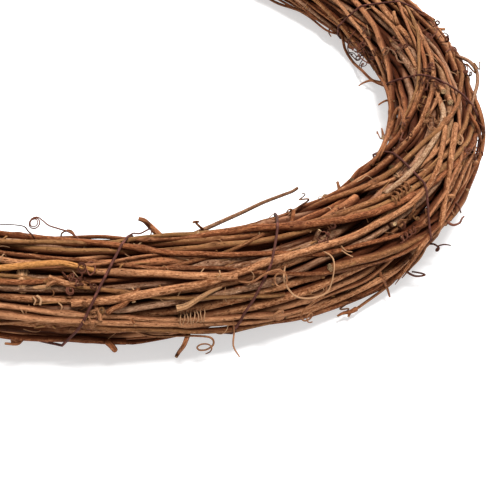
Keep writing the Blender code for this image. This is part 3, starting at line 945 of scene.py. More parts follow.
class Wreath:
    """The whole winding, worked out once: canes, wire, spurs, tendrils, feet and shoots."""

    def __init__(self):
        rng = np.random.default_rng(SEED)
        self.canes = wind_canes(rng)
        settle(self.canes)
        wire = wire_points(self.canes)
        floor = wire[:, 2].min() - WIRE_RADIUS - FOOT_DROP
        self.height = -floor
        self.feet = foot_lines(self.canes, wire, floor)
        self.twigs = place_twigs(rng, self.canes, wire, self.feet)
        self.shoots = lay_shoots(self.canes, np.random.default_rng(SHOOT_SEED))
        self.draw_canes(np.random.default_rng(CANE_LOOK_SEED))
        self.draw_shoots(np.random.default_rng(SHOOT_LOOK_SEED))
        self.feel_skin()

    def draw_canes(self, rng):
        """The lines of every cane with all that grows on it, and the buds, by the name of its node."""
        self.cane_lines, self.cane_buds = {}, {}
        counts = {layer[0]: 0 for layer in LAYERS}
        for number, cane in enumerate(self.canes):
            counts[cane.layer] += 1
            name = f"{cane.layer}_cane_{counts[cane.layer]:02d}"
            tone = rng.uniform(0, 1)
            angles, places, radii = fine_cane(cane, FINE_STEPS[cane.layer])
            line, buds = add_knuckles(rng, angles, places, radii * SLIMNESS, tone)
            lines = [line]
            lines += [twig_line(rng, twig, radius, tone) for twig, radius in self.twigs[number]]
            lines += [foot_line(foot, tone) for owner, foot in self.feet if owner == number]
            self.cane_lines[name], self.cane_buds[name] = lines, buds

    def draw_shoots(self, rng):
        self.shoot_lines = []
        for angles, places, radii in self.shoots:
            rows = smooth_rows(np.column_stack([angles, places, radii]), 3)
            angles, places, radii, tone = rows[:, 0], rows[:, 1:3], rows[:, 3], rng.uniform(0, 1)
            line, _ = add_knuckles(rng, angles, places, radii, tone, tall=0.5, bend=0.0007)
            self.shoot_lines.append(line)

    def feel_skin(self):
        """How far the bundle reaches: rows for sections of the ring, columns for directions."""
        reach = reach_by_direction(*circles_by_section(self.canes), SKIN_DIRECTIONS)
        highest = np.max([np.roll(reach, shift, axis=1) for shift in range(-3, 4)], axis=0)
        self.skin = (np.roll(highest, 1, axis=0) + highest + np.roll(highest, -1, axis=0)) / 3

    def skin_at(self, angles, polars):
        rows = np.asarray(angles) / (2 * math.pi) * SHOOT_SECTIONS
        columns = np.asarray(polars) / (2 * math.pi) * SKIN_DIRECTIONS
        row, column = np.floor(rows).astype(int), np.floor(columns).astype(int)
        down, right = rows - row, columns - column
        height = 0
        for i, share in ((0, 1 - down), (1, down)):
            for j, part in ((0, 1 - right), (1, right)):
                here = (row + i) % SHOOT_SECTIONS, (column + j) % SKIN_DIRECTIONS
                height += share * part * self.skin[here]
        return height

    def lay(self, angles, polars, lifts):
        """Points at a lift over the canes, from angles round the ring and round the bundle."""
        reach = self.skin_at(angles, polars) + lifts
        return ring_points(angles, np.stack([reach * np.cos(polars), reach * np.sin(polars)], axis=1))

    def seen_at(self, x, y, lift=0.0):
        """The place that the camera sees at a point of the picture, at this lift over the canes.

        Where the camera looks past the bundle, it is the place on that line of sight nearest to the canes.
        What has a lift under 0 is then drawn in to the canes, so that it has its root there.
        """
        place, right, up, forward = camera_axes()
        middle = FRAME_PIXELS / 2
        aim = forward + right * (x - middle) / FOCAL_PIXELS - up * (y - middle) / FOCAL_PIXELS
        sight = np.linspace(NEAREST_SIGHT, FARTHEST_SIGHT, SIGHT_STEPS)
        line = np.array(place) + sight[:, None] * np.array(aim.normalized())
        across = np.hypot(line[:, 0], line[:, 1]) - RING_RADIUS
        polars = np.arctan2(line[:, 2], across)
        angles = np.arctan2(line[:, 1], line[:, 0])
        over = np.hypot(across, line[:, 2]) - self.skin_at(angles, polars) - lift
        if (over < 0).any():
            return line[np.argmax(over < 0)]
        nearest = np.argmin(over)
        return self.lay(angles[[nearest]], polars[[nearest]], lift)[0] if lift < 0 else line[nearest]


@functools.cache
def wreath():
    return Wreath()


def circles_by_section(canes):
    """For each of the fine sections round the ring, the places and radii of the canes that cross it."""
    steps = SHOOT_SECTIONS // STATIONS
    places = [[] for _ in range(SHOOT_SECTIONS)]
    radii = [[] for _ in range(SHOOT_SECTIONS)]
    for cane in canes:
        _, where, thick = fine_cane(cane, steps)
        for k in range(len(thick)):
            section = (cane.start * steps + k) % SHOOT_SECTIONS
            places[section].append(where[k])
            radii[section].append(thick[k])
    most = max(len(row) for row in radii)
    far = [(1.0, 1.0)]
    all_places = [row + far * (most - len(row)) for row in places]
    all_radii = [row + [0.0] * (most - len(row)) for row in radii]
    return np.array(all_places), np.array(all_radii)


def lay_shoots(canes, rng, rounds=140):
    """Thin shoots wound steeply over the canes: they sink into the grooves between what they lie on."""
    fixed_places, fixed_radii = circles_by_section(canes)
    shoots, first = [], 0
    for _ in range(SHOOT_COUNT):
        count = int(SHOOT_SECTIONS * rng.uniform(0.3, 1.0))
        start = int(rng.integers(SHOOT_SECTIONS))
        k = np.arange(count)
        slope = rng.choice((-1, 1)) * rng.uniform(0.5, 2.4)
        sway = rng.uniform(0.1, 0.35) * np.sin(2 * math.pi * k / rng.uniform(25, 60) + rng.uniform(0, 6.3))
        around = rng.uniform(0, 2 * math.pi) + 2 * math.pi * slope * k / SHOOT_SECTIONS + sway
        oval = np.stack([0.5 * BUNDLE_WIDTH * np.cos(around), 0.5 * BUNDLE_HEIGHT * np.sin(around)], axis=1)
        radii = np.linspace(rng.uniform(0.0009, 0.0015), rng.uniform(0.0006, 0.0009), count)
        shoots.append((start, 1.06 * oval, radii, slice(first, first + count)))
        first += count
    places = np.concatenate([shoot[1] for shoot in shoots])
    radii = np.concatenate([shoot[2] for shoot in shoots])
    section = [(start + np.arange(len(thick))) % SHOOT_SECTIONS for start, _, thick, _ in shoots]
    section = np.concatenate(section)
    inside = np.concatenate([np.arange(part.start + 1, part.stop - 1) for *_, part in shoots])
    first_pair, second_pair = [], []
    for one in range(SHOOT_SECTIONS):
        here = np.flatnonzero(section == one)
        i, j = np.triu_indices(len(here), 1)
        first_pair.append(here[i])
        second_pair.append(here[j])
    a, b = np.concatenate(first_pair), np.concatenate(second_pair)
    obstacles, thickness = fixed_places[section], fixed_radii[section]
    for step in range(rounds):
        draw = 0.00010 if step < 0.7 * rounds else 0.00002
        places -= places / np.linalg.norm(places, axis=1)[:, None] * draw
        apart = places[:, None] - obstacles
        distance = np.linalg.norm(apart, axis=2) + 1e-9
        deep = np.maximum(0, radii[:, None] + thickness + 0.00005 - distance)
        places += (apart * (deep / distance)[:, :, None]).sum(axis=1) * 0.6
        apart = places[a] - places[b]
        distance = np.linalg.norm(apart, axis=1) + 1e-9
        push = apart * (np.maximum(0, radii[a] + radii[b] - distance) / distance / 2)[:, None]
        for axis in (0, 1):
            places[:, axis] += np.bincount(a, push[:, axis], len(places)) * 0.6
            places[:, axis] -= np.bincount(b, push[:, axis], len(places)) * 0.6
        places[inside] += 0.25 * ((places[inside - 1] + places[inside + 1]) / 2 - places[inside])
    step_angle = 2 * math.pi / SHOOT_SECTIONS
    return [
        ((start + np.arange(len(thick))) * step_angle, places[part], thick)
        for start, _, thick, part in shoots
    ]


def add_knuckles(rng, angles, places, radii, tone, tall=0.36, bend=0.0004):
    """A line with knuckles, where it swells and bends a little one way and the other, and a bud for each."""
    steps = np.linalg.norm(np.diff(ring_points(angles, places), axis=0), axis=1)
    length = np.concatenate([[0.0], np.cumsum(steps)])
    marks = [rng.uniform(0.0, KNUCKLE_SPACING[1])]
    while marks[-1] < length[-1]:
        marks.append(marks[-1] + rng.uniform(*KNUCKLE_SPACING))
    sides = np.where(np.arange(len(marks)) % 2, 1.0, -1.0)
    lean = rng.uniform(0, 2 * math.pi)
    sideways = np.array([math.cos(lean), math.sin(lean)])
    zigzag = np.interp(length, marks, sides * bend * rng.uniform(0.3, 1.3, len(marks)))
    wobble = np.zeros_like(places)
    for wave in (0.055, 0.031, 0.017):
        for axis in (0, 1):
            pace = 2 * math.pi * length / (wave * rng.uniform(0.8, 1.2))
            wobble[:, axis] += 0.004 * wave * np.sin(pace + rng.uniform(0, 6.3))
    places = places + zigzag[:, None] * sideways + wobble
    points = ring_points(angles, places)
    knuckles, buds = np.zeros(len(radii)), []
    for mark, side in zip(marks, sides):
        if mark > length[-1]:
            continue
        near = np.exp(-(((length - mark) / KNUCKLE_LENGTH) ** 2))
        knuckles = np.maximum(knuckles, near)
        index = int(np.argmin(np.abs(length - mark)))
        ring = angles[index]
        across = side * sideways
        facing = (across[0] * math.cos(ring), across[0] * math.sin(ring), across[1])
        ahead = points[min(index + 1, len(points) - 1)] - points[max(index - 1, 0)]
        buds.append(Bud(points[index], facing, ahead / np.linalg.norm(ahead), radii[index]))
    swell = 1 + tall * rng.uniform(0.6, 1.2) * knuckles
    return Line(points, radii * swell, tone, knuckles), buds


def twig_line(rng, line, radius, tone):
    """A spur or tendril of a cane, made smooth and tapered."""
    if len(line) == 2:
        start, end = line
        length = np.linalg.norm(end - start)
        bend = rng.normal(0, 0.08 * length, 3)
        t = np.linspace(0, 1, 6)
        points = start + (end - start) * t[:, None] + bend * (4 * t * (1 - t))[:, None]
        return Line(points, radius * np.interp(t, (0, 0.35, 1), (1.5, 1.0, 0.85)), tone)
    points = smooth_rows(line, 5)
    return Line(points, np.linspace(1.15, 0.55, len(points)) * radius, tone)


def foot_line(foot, tone):
    """A spur that the ring stands on, cut level with the table."""
    start, end = foot
    heights = np.linspace(start[2], end[2], 6)
    points = np.column_stack([np.full(6, start[0]), np.full(6, start[1]), heights])
    return Line(points, FOOT_RADIUS * np.array([1.25, 1.2, 1.1, 1.05, 1.0, 1.0]), tone)


def camera_axes():
    """The camera's place, seen from the ring's centre, and its right, up and forward directions."""
    down = math.radians(LOOK_DOWN_DEG)
    right, forward = Vector((1.0, 0.0, 0.0)), Vector((0.0, math.cos(down), -math.sin(down)))
    place = -CAMERA_DISTANCE * forward
    up = right.cross(forward)
    turn = Matrix.Rotation(-math.radians(TURN_DEG), 3, up)
    right, forward = turn @ right, turn @ forward
    tilt = Matrix.Rotation(math.radians(TILT_DEG), 3, right)
    up, forward = tilt @ up, tilt @ forward
    roll = Matrix.Rotation(math.radians(ROLL_DEG), 3, forward)
    return place, roll @ right, roll @ up, forward


def unit(vector):
    return vector / np.linalg.norm(vector)


def seen_path(path):
    """A smooth line through points of the picture, each with its lift over the canes in millimetres."""
    points = np.array([wreath().seen_at(x, y, lift / 1000) for x, y, lift in path])
    return smooth_rows(points, 6)


def curl_on(points, size, turns, hand, rise, facing):
    """A line that goes on from its end into a flat spiral, which closes in on itself and faces one way."""
    heading = unit(points[-1] - points[-2])
    side = hand * unit(np.cross(heading, facing))
    out = np.cross(side, heading) * hand
    hub = points[-1] + side * size
    turned = np.linspace(0, 2 * math.pi * turns, max(6, round(turns * 14)))[1:, None]
    reach = size * (1 - 0.5 * turned / turned[-1])
    flat = hub + reach * (np.sin(turned) * heading - np.cos(turned) * side)
    return np.vstack([points, flat + out * rise * turned / (2 * math.pi)])


def corkscrew(axis, size, turns):
    """A spring wound round a line."""
    count = max(8, round(turns * 12))
    rows = np.linspace(0, len(axis) - 1, count)
    middle = np.stack([np.interp(rows, np.arange(len(axis)), axis[:, k]) for k in range(3)], axis=1)
    heading = np.gradient(middle, axis=0)
    turned = np.linspace(0, 2 * math.pi * turns, count)
    points = []
    for here, ahead, angle, reach in zip(middle, heading, turned, np.broadcast_to(size, count)):
        out = outward(here)
        side = unit(np.cross(ahead, out))
        lean = 0.12 * math.sin(2.3 * angle) * unit(ahead)
        points.append(here + reach * (math.sin(angle) * out + math.cos(angle) * side + lean))
    return np.array(points)


def tapered(points, thick, thin, tone):
    """A line that tapers from one radius to another, both in millimetres."""
    return Line(points, np.linspace(thick, thin, len(points)) / 1000, tone)


# Tendrils and twigs that show in the photograph. Each path is points of the picture with their lift in
# millimetres over the canes. Then come the thicknesses in millimetres, and for a curl at the end its size
# in millimetres, its turns and its hand.
PLACED_TENDRILS = (
    ("dark", ((86, 246, -1), (80, 240, 1), (70, 232.5, 3), (58, 228.5, 4), (49, 225.5, 4.6),
        (43.5, 221.2, 5), (39.5, 218, 5.2)), 0.34, 0.2, (2.4, 2.2, -1)),
    ("dark", ((36, 243, -1), (33, 236, 2), (28, 231, 3), (23.3, 226.2, 4), (8, 224.5, 4),
        (-8, 225, 3)), 0.3, 0.22, None),
    ("dark", ((149, 229, 3), (140, 233.5, 2), (132.3, 233.5, 1.5), (129, 239, 0)), 0.34, 0.26, None),
    ("dark", ((150, 224, 5), (151.5, 231, 3), (150, 237, 1)), 0.3, 0.22, None),
    ("fibre", ((285, 266, -0.4), (284, 280, 3.2), (290.7, 291.8, 4.2), (298.5, 297.3, 4.6),
        (312.5, 298, 4.6), (326.5, 292.6, 4.2), (332, 281, 3.6), (334.3, 265.4, 3.2), (331, 256, 2.6),
        (320, 250, -0.4)), 0.34, 0.28, None),
    ("dark", ((428, 244, 0), (434, 244.2, 2.5), (438.5, 247, 3)), 0.4, 0.38, (1.0, 1.1, 1)),
    ("dark", ((438, 246, 3), (444, 244.5, 3.4), (451, 245.4, 3.4)), 0.34, 0.26, None),
    ("dark", ((400, 268, -1), (405, 270.8, 1), (415, 276, 4), (424.5, 275.2, 5), (422, 273.4, 5),
        (412, 271.6, 3.5)), 0.5, 0.36, None),
    ("dark", ((447, 222, 0), (453, 225, 2.5), (459.5, 223, 4), (462, 218.5, 5),
        (464, 216.5, 5)), 0.6, 0.36, None),
    ("dark", ((455, 203, 0), (458.5, 206, 3), (461, 213, 3.5)), 0.5, 0.3, None),
    ("dark", ((478, 122, 0), (484, 128, 2.5), (485, 135, 3)), 0.32, 0.26, (1.2, 1.6, 1)),
    ("tan", ((232.6, 318, -0.5), (234, 332, 1), (233.4, 346, 1.6), (239.6, 357, 2)), 0.42, 0.28, None),
    ("dark", ((86, 264, 0.2), (93, 262, 1), (95, 270, 1), (90, 275, 1),
        (86.5, 269, 1)), 0.3, 0.22, (1.2, 1.0, -1)),
    ("dark", ((62, 272, 0), (72, 281, 1), (82, 276, 1.4), (78, 270, 1)), 0.34, 0.22, (1.6, 1.6, 1)),
    ("dark", ((462, 62, -0.6), (467, 66, 1.6), (468, 72, 2)), 0.3, 0.26, (1.3, 2.2, 1)),
    ("dark", ((464, 74, -0.6), (470, 76, 1.6)), 0.28, 0.24, (1.1, 1.5, -1)),
    ("dark", ((432, 27, -0.6), (438, 25, 1.8)), 0.3, 0.26, (1.2, 2.0, -1)),
    ("dark", ((438, 38, -0.6), (444, 33, 1.6), (448, 35, 2)), 0.32, 0.28, (1.6, 2.3, 1)),
    ("dark", ((440, 42, -0.6), (447, 42, 1.6)), 0.3, 0.26, (1.3, 1.6, -1)),
    ("dark", ((446, 52, -0.6), (452, 47, 1.6)), 0.34, 0.28, (1.6, 1.8, 1)),
    ("fibre", ((37, 296, 0.2), (41, 299.5, 1.6), (40, 305, 1.0)), 0.5, 0.4, None),
    ("fibre", ((33, 297, 0.2), (35.5, 300.5, 1.4), (34, 305, 0.6)), 0.34, 0.28, None),
    ("dark", ((418, 12, 0), (430, 20, 1.5), (437, 30, 2.5), (432, 38, 2)), 0.36, 0.22, (1.8, 1.6, 1)),
    ("dark", ((356, 30, -0.5), (350, 38, 2), (348, 50, 3), (356, 60, 3.4)), 0.34, 0.2, (1.6, 2.0, -1)),
    ("dark", ((378, 66, -0.5), (366, 62, 2.4), (358, 54, 3.2), (360, 44, 3)), 0.32, 0.2, (1.5, 1.5, 1)),
    ("dark", ((120, 240, -0.5), (123, 238.5, 1), (127, 240, 0.8)), 0.5, 0.36, (0.9, 1.2, 1)),
    ("fibre", ((17, 306, 0.2), (22, 311, 0.8), (25, 318, 0)), 0.26, 0.2, None),
    ("fibre", ((29, 305, 0.2), (26, 312, 0.9), (27.5, 319, 0.2)), 0.24, 0.18, None),
    ("fibre", ((58.5, 303, 0), (62, 307, 0.8), (59, 313, 0)), 0.28, 0.2, None),
    ("fibre", ((132, 288, -0.2), (136.5, 294, 0.8), (134, 301, 0)), 0.3, 0.2, None),
    ("fibre", ((183, 286, 0), (180.5, 291, 0.9), (177.5, 296.5, 0)), 0.3, 0.2, None),
    ("fibre", ((219.5, 270.5, 0), (220, 275, 0.8), (217, 278, 0.2)), 0.26, 0.2, None),
    ("fibre", ((176.5, 265.5, 0), (180, 261.5, 0.9), (184.5, 264, 0)), 0.22, 0.16, None),
    ("fibre", ((160, 268, 0), (164.5, 266, 0.8), (168, 269.5, 0)), 0.22, 0.16, None),
    ("fibre", ((341, 246, 0.2), (346, 251, 1.2), (352, 252, 1.2)), 0.3, 0.2, None),
    ("fibre", ((341, 250, 0.2), (347, 254, 1.2), (353, 257, 1.0)), 0.3, 0.2, None),
    ("fibre", ((391, 170, 0.3), (396, 173, 1.0), (399, 177, 0.8),
        (393, 175, 0.8)), 0.3, 0.24, (0.9, 1.0, 1)),
    ("fibre", ((460, 135, 0.2), (463, 139, 1.2), (461, 144, 0.6)), 0.28, 0.2, (0.8, 1.0, 1)),
)
PLACED_COILS = (
    # skin, first end, last end, size in millimetres, turns, thickness in millimetres
    ("fibre", (178, 319, 0.1), (205, 315, 0.1), 2.3, 8, 0.22),
    ("dark", (400, 240, 1.0), (416, 228, 1.0), 1.2, 4, 0.26),
    ("tan", (392, 201, 0.9), (408, 184, 0.9), 1.7, 5, 0.5),
)
PLACED_TANGLES = (
    # skin, middle and spread in the picture, curls
    ("dark", (360, 50), (10, 12), 15),
    ("dark", (77, 279), (9, 4), 6),
    ("tan", (427, 112), (6, 10), 8),
    ("dark", (402, 132), (5, 8), 5),
    ("dark", (427, 78), (6, 13), 9),
    ("dark", (408, 50), (6, 7), 5),
    ("tan", (405, 212), (10, 8), 4),
    ("dark", (478, 150), (4, 12), 6),
    ("dark", (330, 232), (14, 7), 5),
    ("tan", (90, 314), (14, 6), 5),
)
PLACED_TWIGS = (
    # skin, path, thickness at the foot and at the tip
    ("brown_bark", ((164, 240, -0.8), (157, 233, 2), (149, 225, 5), (144, 220.5, 6.5),
        (138.5, 218.7, 7)), 1.35, 0.75),
    ("brown_bark", ((204, 230, 0), (199, 226, 2.5), (195.3, 221.8, 4.5)), 0.5, 0.45),
    ("brown_bark", ((193.2, 222.5, 4.8), (195.5, 221.6, 4.8), (199, 221.8, 4.8)), 0.45, 0.4),
    ("grey_bark", ((186, 236, -1), (205, 229, 1.2), (225, 220, 3), (243, 212, 4), (262, 203, 4),
        (280, 196, 4), (292, 191.5, 4), (297.5, 188, 4)), 0.9, 0.6),
    ("ochre_bark", ((-10, 269, 0.9), (20, 266, 1.4), (45, 263.5, 1.7), (62, 263, 1.6), (80, 267, 0.9),
        (96, 271, -0.8)), 1.15, 0.95),
    ("straw_bark", ((221, 287, -1.2), (208, 293, 0.9), (195, 301, 1.5), (186, 306, 1.3),
        (176.6, 308.5, 1.0)), 0.55, 1.2),
    ("straw_bark", ((23, 272, -2.4), (22.5, 277, -0.7), (22.5, 283, -0.7), (23, 290, -2.6)), 2.2, 1.9),
    ("red_bark", ((-8, 281.5, 0.5), (20, 282.3, 0.9), (40, 281.5, 0.6), (56, 279, 0.0),
        (72, 277, -1)), 1.0, 0.85),
    ("straw_bark", ((29, 288, -0.9), (40, 287.5, -0.3), (51, 287, -0.2)), 0.95, 0.9),
    ("tan_bark", ((86, 287, -0.6), (70, 284.5, 1), (58, 281, 1.8), (49, 277.5, 2.0)), 1.2, 1.0),
    ("tan_bark", ((58, 281, 1.6), (52, 283, 2), (47, 285, 1.6)), 0.8, 0.7),
    ("brown_bark", ((139, 290, -0.5), (131, 296, 1), (124, 304, 1.8), (112, 309.5, 1.6),
        (107, 313, 1.4)), 1.0, 0.9),
    ("brown_bark", ((131, 291, 0.4), (134, 302, 1.4)), 0.8, 0.7),
    ("tan_bark", ((95, 306, -0.6), (99, 313, 1.2), (100.6, 321, 1.8)), 0.9, 0.7),
    ("red_bark", ((107, 341, -0.5), (111, 345, 1.0), (115, 350, 1.8)), 1.3, 1.0),
    ("brown_bark", ((189, 337, -0.5), (184, 345, 2), (179, 352, 2.6), (176, 357, 2.4)), 0.9, 0.6),
    ("brown_bark", ((22, 340, -0.5), (17, 344, 1.2), (5, 343.5, 2.5)), 0.6, 0.45),
    ("tan_bark", ((431, 232, -1.2), (421, 247, 2.0), (412, 260, 3.2), (404, 272, 4.0),
        (395, 284.5, 4.5)), 1.5, 0.15),
    ("tan_bark", ((430, 240, -1), (420, 256, 1.4), (412, 266, 2.2), (402, 278, 2.8)), 1.2, 0.2),
    ("brown_bark", ((376, 266, -1), (382, 277, 2.4), (387, 288, 3), (389.8, 297, 3.4)), 0.85, 0.35),
    ("tan_bark", ((406, 262, -1.2), (395, 279, 2), (382.5, 290, 3), (366, 302, 4),
        (352, 312, 5)), 0.65, 0.55),
    ("brown_bark", ((424, 246, -0.8), (408, 265, 1.6), (390, 281, 3), (365, 294, 3.2), (335, 306, 2.5),
        (300, 317, 1), (270, 323, -0.8)), 1.3, 1.1),
    ("tan_bark", ((410, 256, -0.6), (392, 272, 1.6), (368, 285, 2), (340, 298, 1.6), (305, 311, 0.8),
        (285, 316, -0.6)), 1.4, 1.2),
    ("red_bark", ((398, 268, -0.8), (380, 284, 2.5), (355, 297, 2.6), (330, 307, 1.4),
        (312, 313, -0.6)), 1.0, 0.8),
    ("red_bark", ((356, 309, 4.6), (350, 312, 5), (343.5, 313, 4.4), (337.4, 316, 4)), 1.0, 0.4),
    ("brown_bark", ((350, 312.5, 5), (348.4, 316.6, 5.4)), 0.6, 0.45),
    ("pale_bark", ((438, 100, -1), (442.5, 108, 0.8), (443, 119, 1.2), (437, 135, 1.3), (429, 148, 1.2),
        (421, 160, 1.1), (413, 170, 1.0), (404, 179, 0.9), (394, 187, 0.4), (384, 194, -0.8)), 1.35, 1.15),
    ("tan_bark", ((455.5, 125, 1.8), (453.5, 140, 1.5), (450.5, 160, 1.3), (447.5, 180, 1.1),
        (444, 203, 0.9), (440, 226, 0.4), (435, 246, -0.9)), 1.35, 1.2),
    ("tan_bark", ((481, 128, -0.6), (474, 150, 1), (466.4, 166, 1.2), (459, 183, 1.1), (451.6, 199, 0.8),
        (444, 214, -0.6)), 0.85, 0.75),
    ("brown_bark", ((376, 72, -1), (386, 88, 2.5), (390, 108, 4), (388, 127, 4), (383, 145, 2.5),
        (372, 165, -1)), 0.85, 0.7),
    ("brown_bark", ((377, 160, -0.8), (384, 145, 2.2), (391, 126, 3.4), (396, 112, 3.8),
        (399, 108.4, 3.8), (402, 112, 3.2), (403.5, 121, 2.2), (402, 134, -0.4)), 1.1, 0.75),
    ("grey_bark", ((452, 55, -0.6), (461, 57.5, 1), (470, 62, 3), (476.5, 71, 4.2), (477.5, 82, 3.6),
        (475, 93, 1.6), (470, 108, -0.8)), 0.95, 0.85),
    ("brown_bark", ((423, 14, -0.5), (429, 18, 1.4), (434, 21, 1.8)), 1.3, 1.2),
    ("brown_bark", ((341, 31, -0.6), (343, 40, 2.4), (345.5, 50, 3.4), (353, 62, 3.4), (362, 70.5, 2.6),
        (372, 80, 1.2), (384, 88, -0.8)), 0.8, 0.7),
    ("brown_bark", ((386, 84, -0.6), (378, 82, 1.2), (371, 80.5, 2.0), (364, 82.5, 2.4),
        (358.5, 86, 2.6)), 0.95, 0.35),
    ("brown_bark", ((334, 27, -0.5), (330, 29, 1.0), (328.6, 32, 1.6), (331, 36.5, 1.8)), 0.55, 0.3),
    ("brown_bark", ((470, 90, -0.8), (478, 106, 1.6), (482.5, 122, 2.4), (483.5, 138, 2.6),
        (480.5, 156, 2), (472, 178, -0.8)), 1.0, 0.85),
    ("red_bark", ((468, 112, -0.8), (476.5, 126, 1.4), (480.5, 143, 1.8), (478, 164, 1.4),
        (468, 190, -0.8)), 0.9, 0.75),
    ("brown_bark", ((250, -6, -0.5), (275, 2, 2.5), (300, 11, 2.6), (331, 27, -0.5)), 0.8, 0.65),
    ("red_bark", ((262, -8, -0.5), (285, 3, 1.8), (308, 16, 2.2), (326, 30, 1.5),
        (334, 40, -0.8)), 0.7, 0.55),
    ("brown_bark", ((394, 101, -1), (387, 100.5, 1.2), (382, 102.5, 2.0), (378.5, 105, 2.4)), 0.6, 0.35),
    ("tan_bark", ((440, 86, -0.6), (443.5, 91.5, 1.8)), 1.3, 1.2),
    ("tan_bark", ((448, 97, -0.6), (450.5, 102, 1.9)), 1.4, 1.3),
)


def tangled_curl(rng, middle, spread):
    """A thin curl of a tangle: it strays over the canes and closes in on itself."""
    place = np.array(middle) + np.array(spread) * rng.uniform(-1, 1, 2)
    heading, path = rng.uniform(0, 2 * math.pi), []
    for lift in (-0.8, 0.6, 1.4, 1.8):
        path.append((*place, lift * rng.uniform(0.7, 1.3)))
        heading += rng.normal(0, 0.7)
        place = place + rng.uniform(2, 5) * np.array([math.cos(heading), math.sin(heading)])
    points = seen_path(path)
    facing = unit(outward(points[-1]) + rng.normal(0, 0.5, 3))
    size, turns, hand = rng.uniform(0.0007, 0.0015), rng.uniform(0.8, 2.2), rng.choice((-1, 1))
    return curl_on(points, size, turns, hand, 0.0004, facing)


def hidden_curl(rng):
    """A curl under the outermost canes, which shows in the gaps between them."""
    angle, polar = rng.uniform(0, 2 * math.pi), rng.uniform(-0.3, math.pi + 0.3)
    t = np.linspace(0, 1, 4)
    angles = angle + rng.uniform(-0.012, 0.012) * t / RING_RADIUS
    polars = polar + rng.uniform(-0.008, 0.008) * t / 0.019
    points = smooth_rows(wreath().lay(angles, polars, np.linspace(-3.4, -1.2, 4) / 1000), 3)
    facing = unit(outward(points[-1]) + rng.normal(0, 0.4, 3))
    size, turns, hand = rng.uniform(0.0008, 0.0018), rng.uniform(0.8, 2.4), rng.choice((-1, 1))
    return curl_on(points, size, turns, hand, 0.0003, facing)


def loose_cane(rng):
    """A thin cane that has come loose: it leaves the bundle, bows out and goes back in."""
    angle, polar = rng.uniform(0.95, 3.55), rng.uniform(-0.5, math.pi + 0.5)
    t = np.linspace(0, 1, 8)
    angles = angle + rng.uniform(0.055, 0.150) * t / RING_RADIUS
    polars = polar + rng.uniform(-1.4, 1.4) * t + rng.uniform(-0.2, 0.2) * np.sin(5 * t)
    lifts = (rng.uniform(2.2, 5.5) * np.sin(math.pi * t) ** 0.8 - 1.4) / 1000
    return smooth_rows(wreath().lay(angles, polars, lifts), 6)


def cut_stub(rng):
    """A short stub with a cut end that stands out of the bundle and leans along it, with a crook."""
    angle, polar = rng.uniform(1.0, 4.4), rng.uniform(-0.3, math.pi + 0.3)
    t = np.linspace(0, 1, 4)
    angles = angle + rng.choice((-1, 1)) * rng.uniform(0.006, 0.016) * t / RING_RADIUS
    polars = polar + rng.uniform(-0.35, 0.35) * t**2
    lifts = np.array((-1.5, 0.4, 1.4, rng.uniform(1.8, 5.0))) / 1000
    return smooth_rows(wreath().lay(angles, polars, lifts), 4)


def loose_fibre(rng):
    """A short pale fibre across the grooves between canes."""
    angle, polar = rng.uniform(0, 2 * math.pi), rng.uniform(-0.6, math.pi + 0.6)
    length, slant = rng.uniform(0.003, 0.010), rng.normal(0, 0.9)
    t = np.linspace(0, 1, 5)
    bow = rng.uniform(-0.35, 0.35) * length * np.sin(math.pi * t)
    angles = angle + (length * t * math.sin(slant) + bow) / RING_RADIUS
    polars = polar + rng.choice((-1, 1)) * length * t * math.cos(slant) / 0.019
    lifts = 0.0014 * np.sin(math.pi * t) * rng.uniform(0.3, 1.0) - 0.0009
    return smooth_rows(wreath().lay(angles, polars, lifts), 3)


def random_tendril(rng):
    """A tendril on the side of the ring that the picture doesn't show: its line and its thickness."""
    angle, polar = rng.uniform(1.1, 4.15), rng.uniform(-0.45, math.pi + 0.45)
    way, drift = rng.choice((-1, 1)), rng.normal(0, 0.35)
    kind = rng.choice(("hook", "spring", "stray", "stray", "wrap"))
    lengths = {"hook": rng.uniform(0.008, 0.022), "spring": rng.uniform(0.008, 0.02), "wrap": 0.012}
    length = lengths.get(kind, rng.uniform(0.025, 0.07))
    t = np.linspace(0, 1, 9)
    wave = rng.uniform(0.4, 1.6) * 0.003 * np.sin(rng.uniform(3, 8) * t + rng.uniform(0, 6.3))
    angles = angle + way * t * length / RING_RADIUS
    polars = polar + (drift * length * t + wave) / 0.019
    heights = {"hook": rng.uniform(0.0015, 0.005), "spring": 0.0012, "wrap": 0.0}
    height = heights.get(kind, rng.uniform(0.0004, 0.003))
    lifts = 0.0004 + height * np.sqrt(t) - 0.0012 * (1 - t) ** 4
    if kind == "stray":
        lifts = 0.0004 + height * np.sin(math.pi * t) ** 2 - 0.0012 * (1 - t) ** 4
    points = smooth_rows(wreath().lay(angles, polars, lifts), 4)
    if kind in ("hook", "stray"):
        facing = unit(outward(points[-1]) + rng.normal(0, 0.6, 3))
        size, turns, hand = rng.uniform(0.0010, 0.0026), rng.uniform(0.8, 2.4), rng.choice((-1, 1))
        points = curl_on(points, size, turns, hand, 0.0006, facing)
    if kind == "spring":
        points = corkscrew(points, np.linspace(rng.uniform(0.0012, 0.002), 0.0009, 1), rng.uniform(3, 7))
    if kind == "wrap":
        points = corkscrew(points, 0.0022, rng.uniform(4, 8))
    return points, rng.uniform(0.24, 0.38)


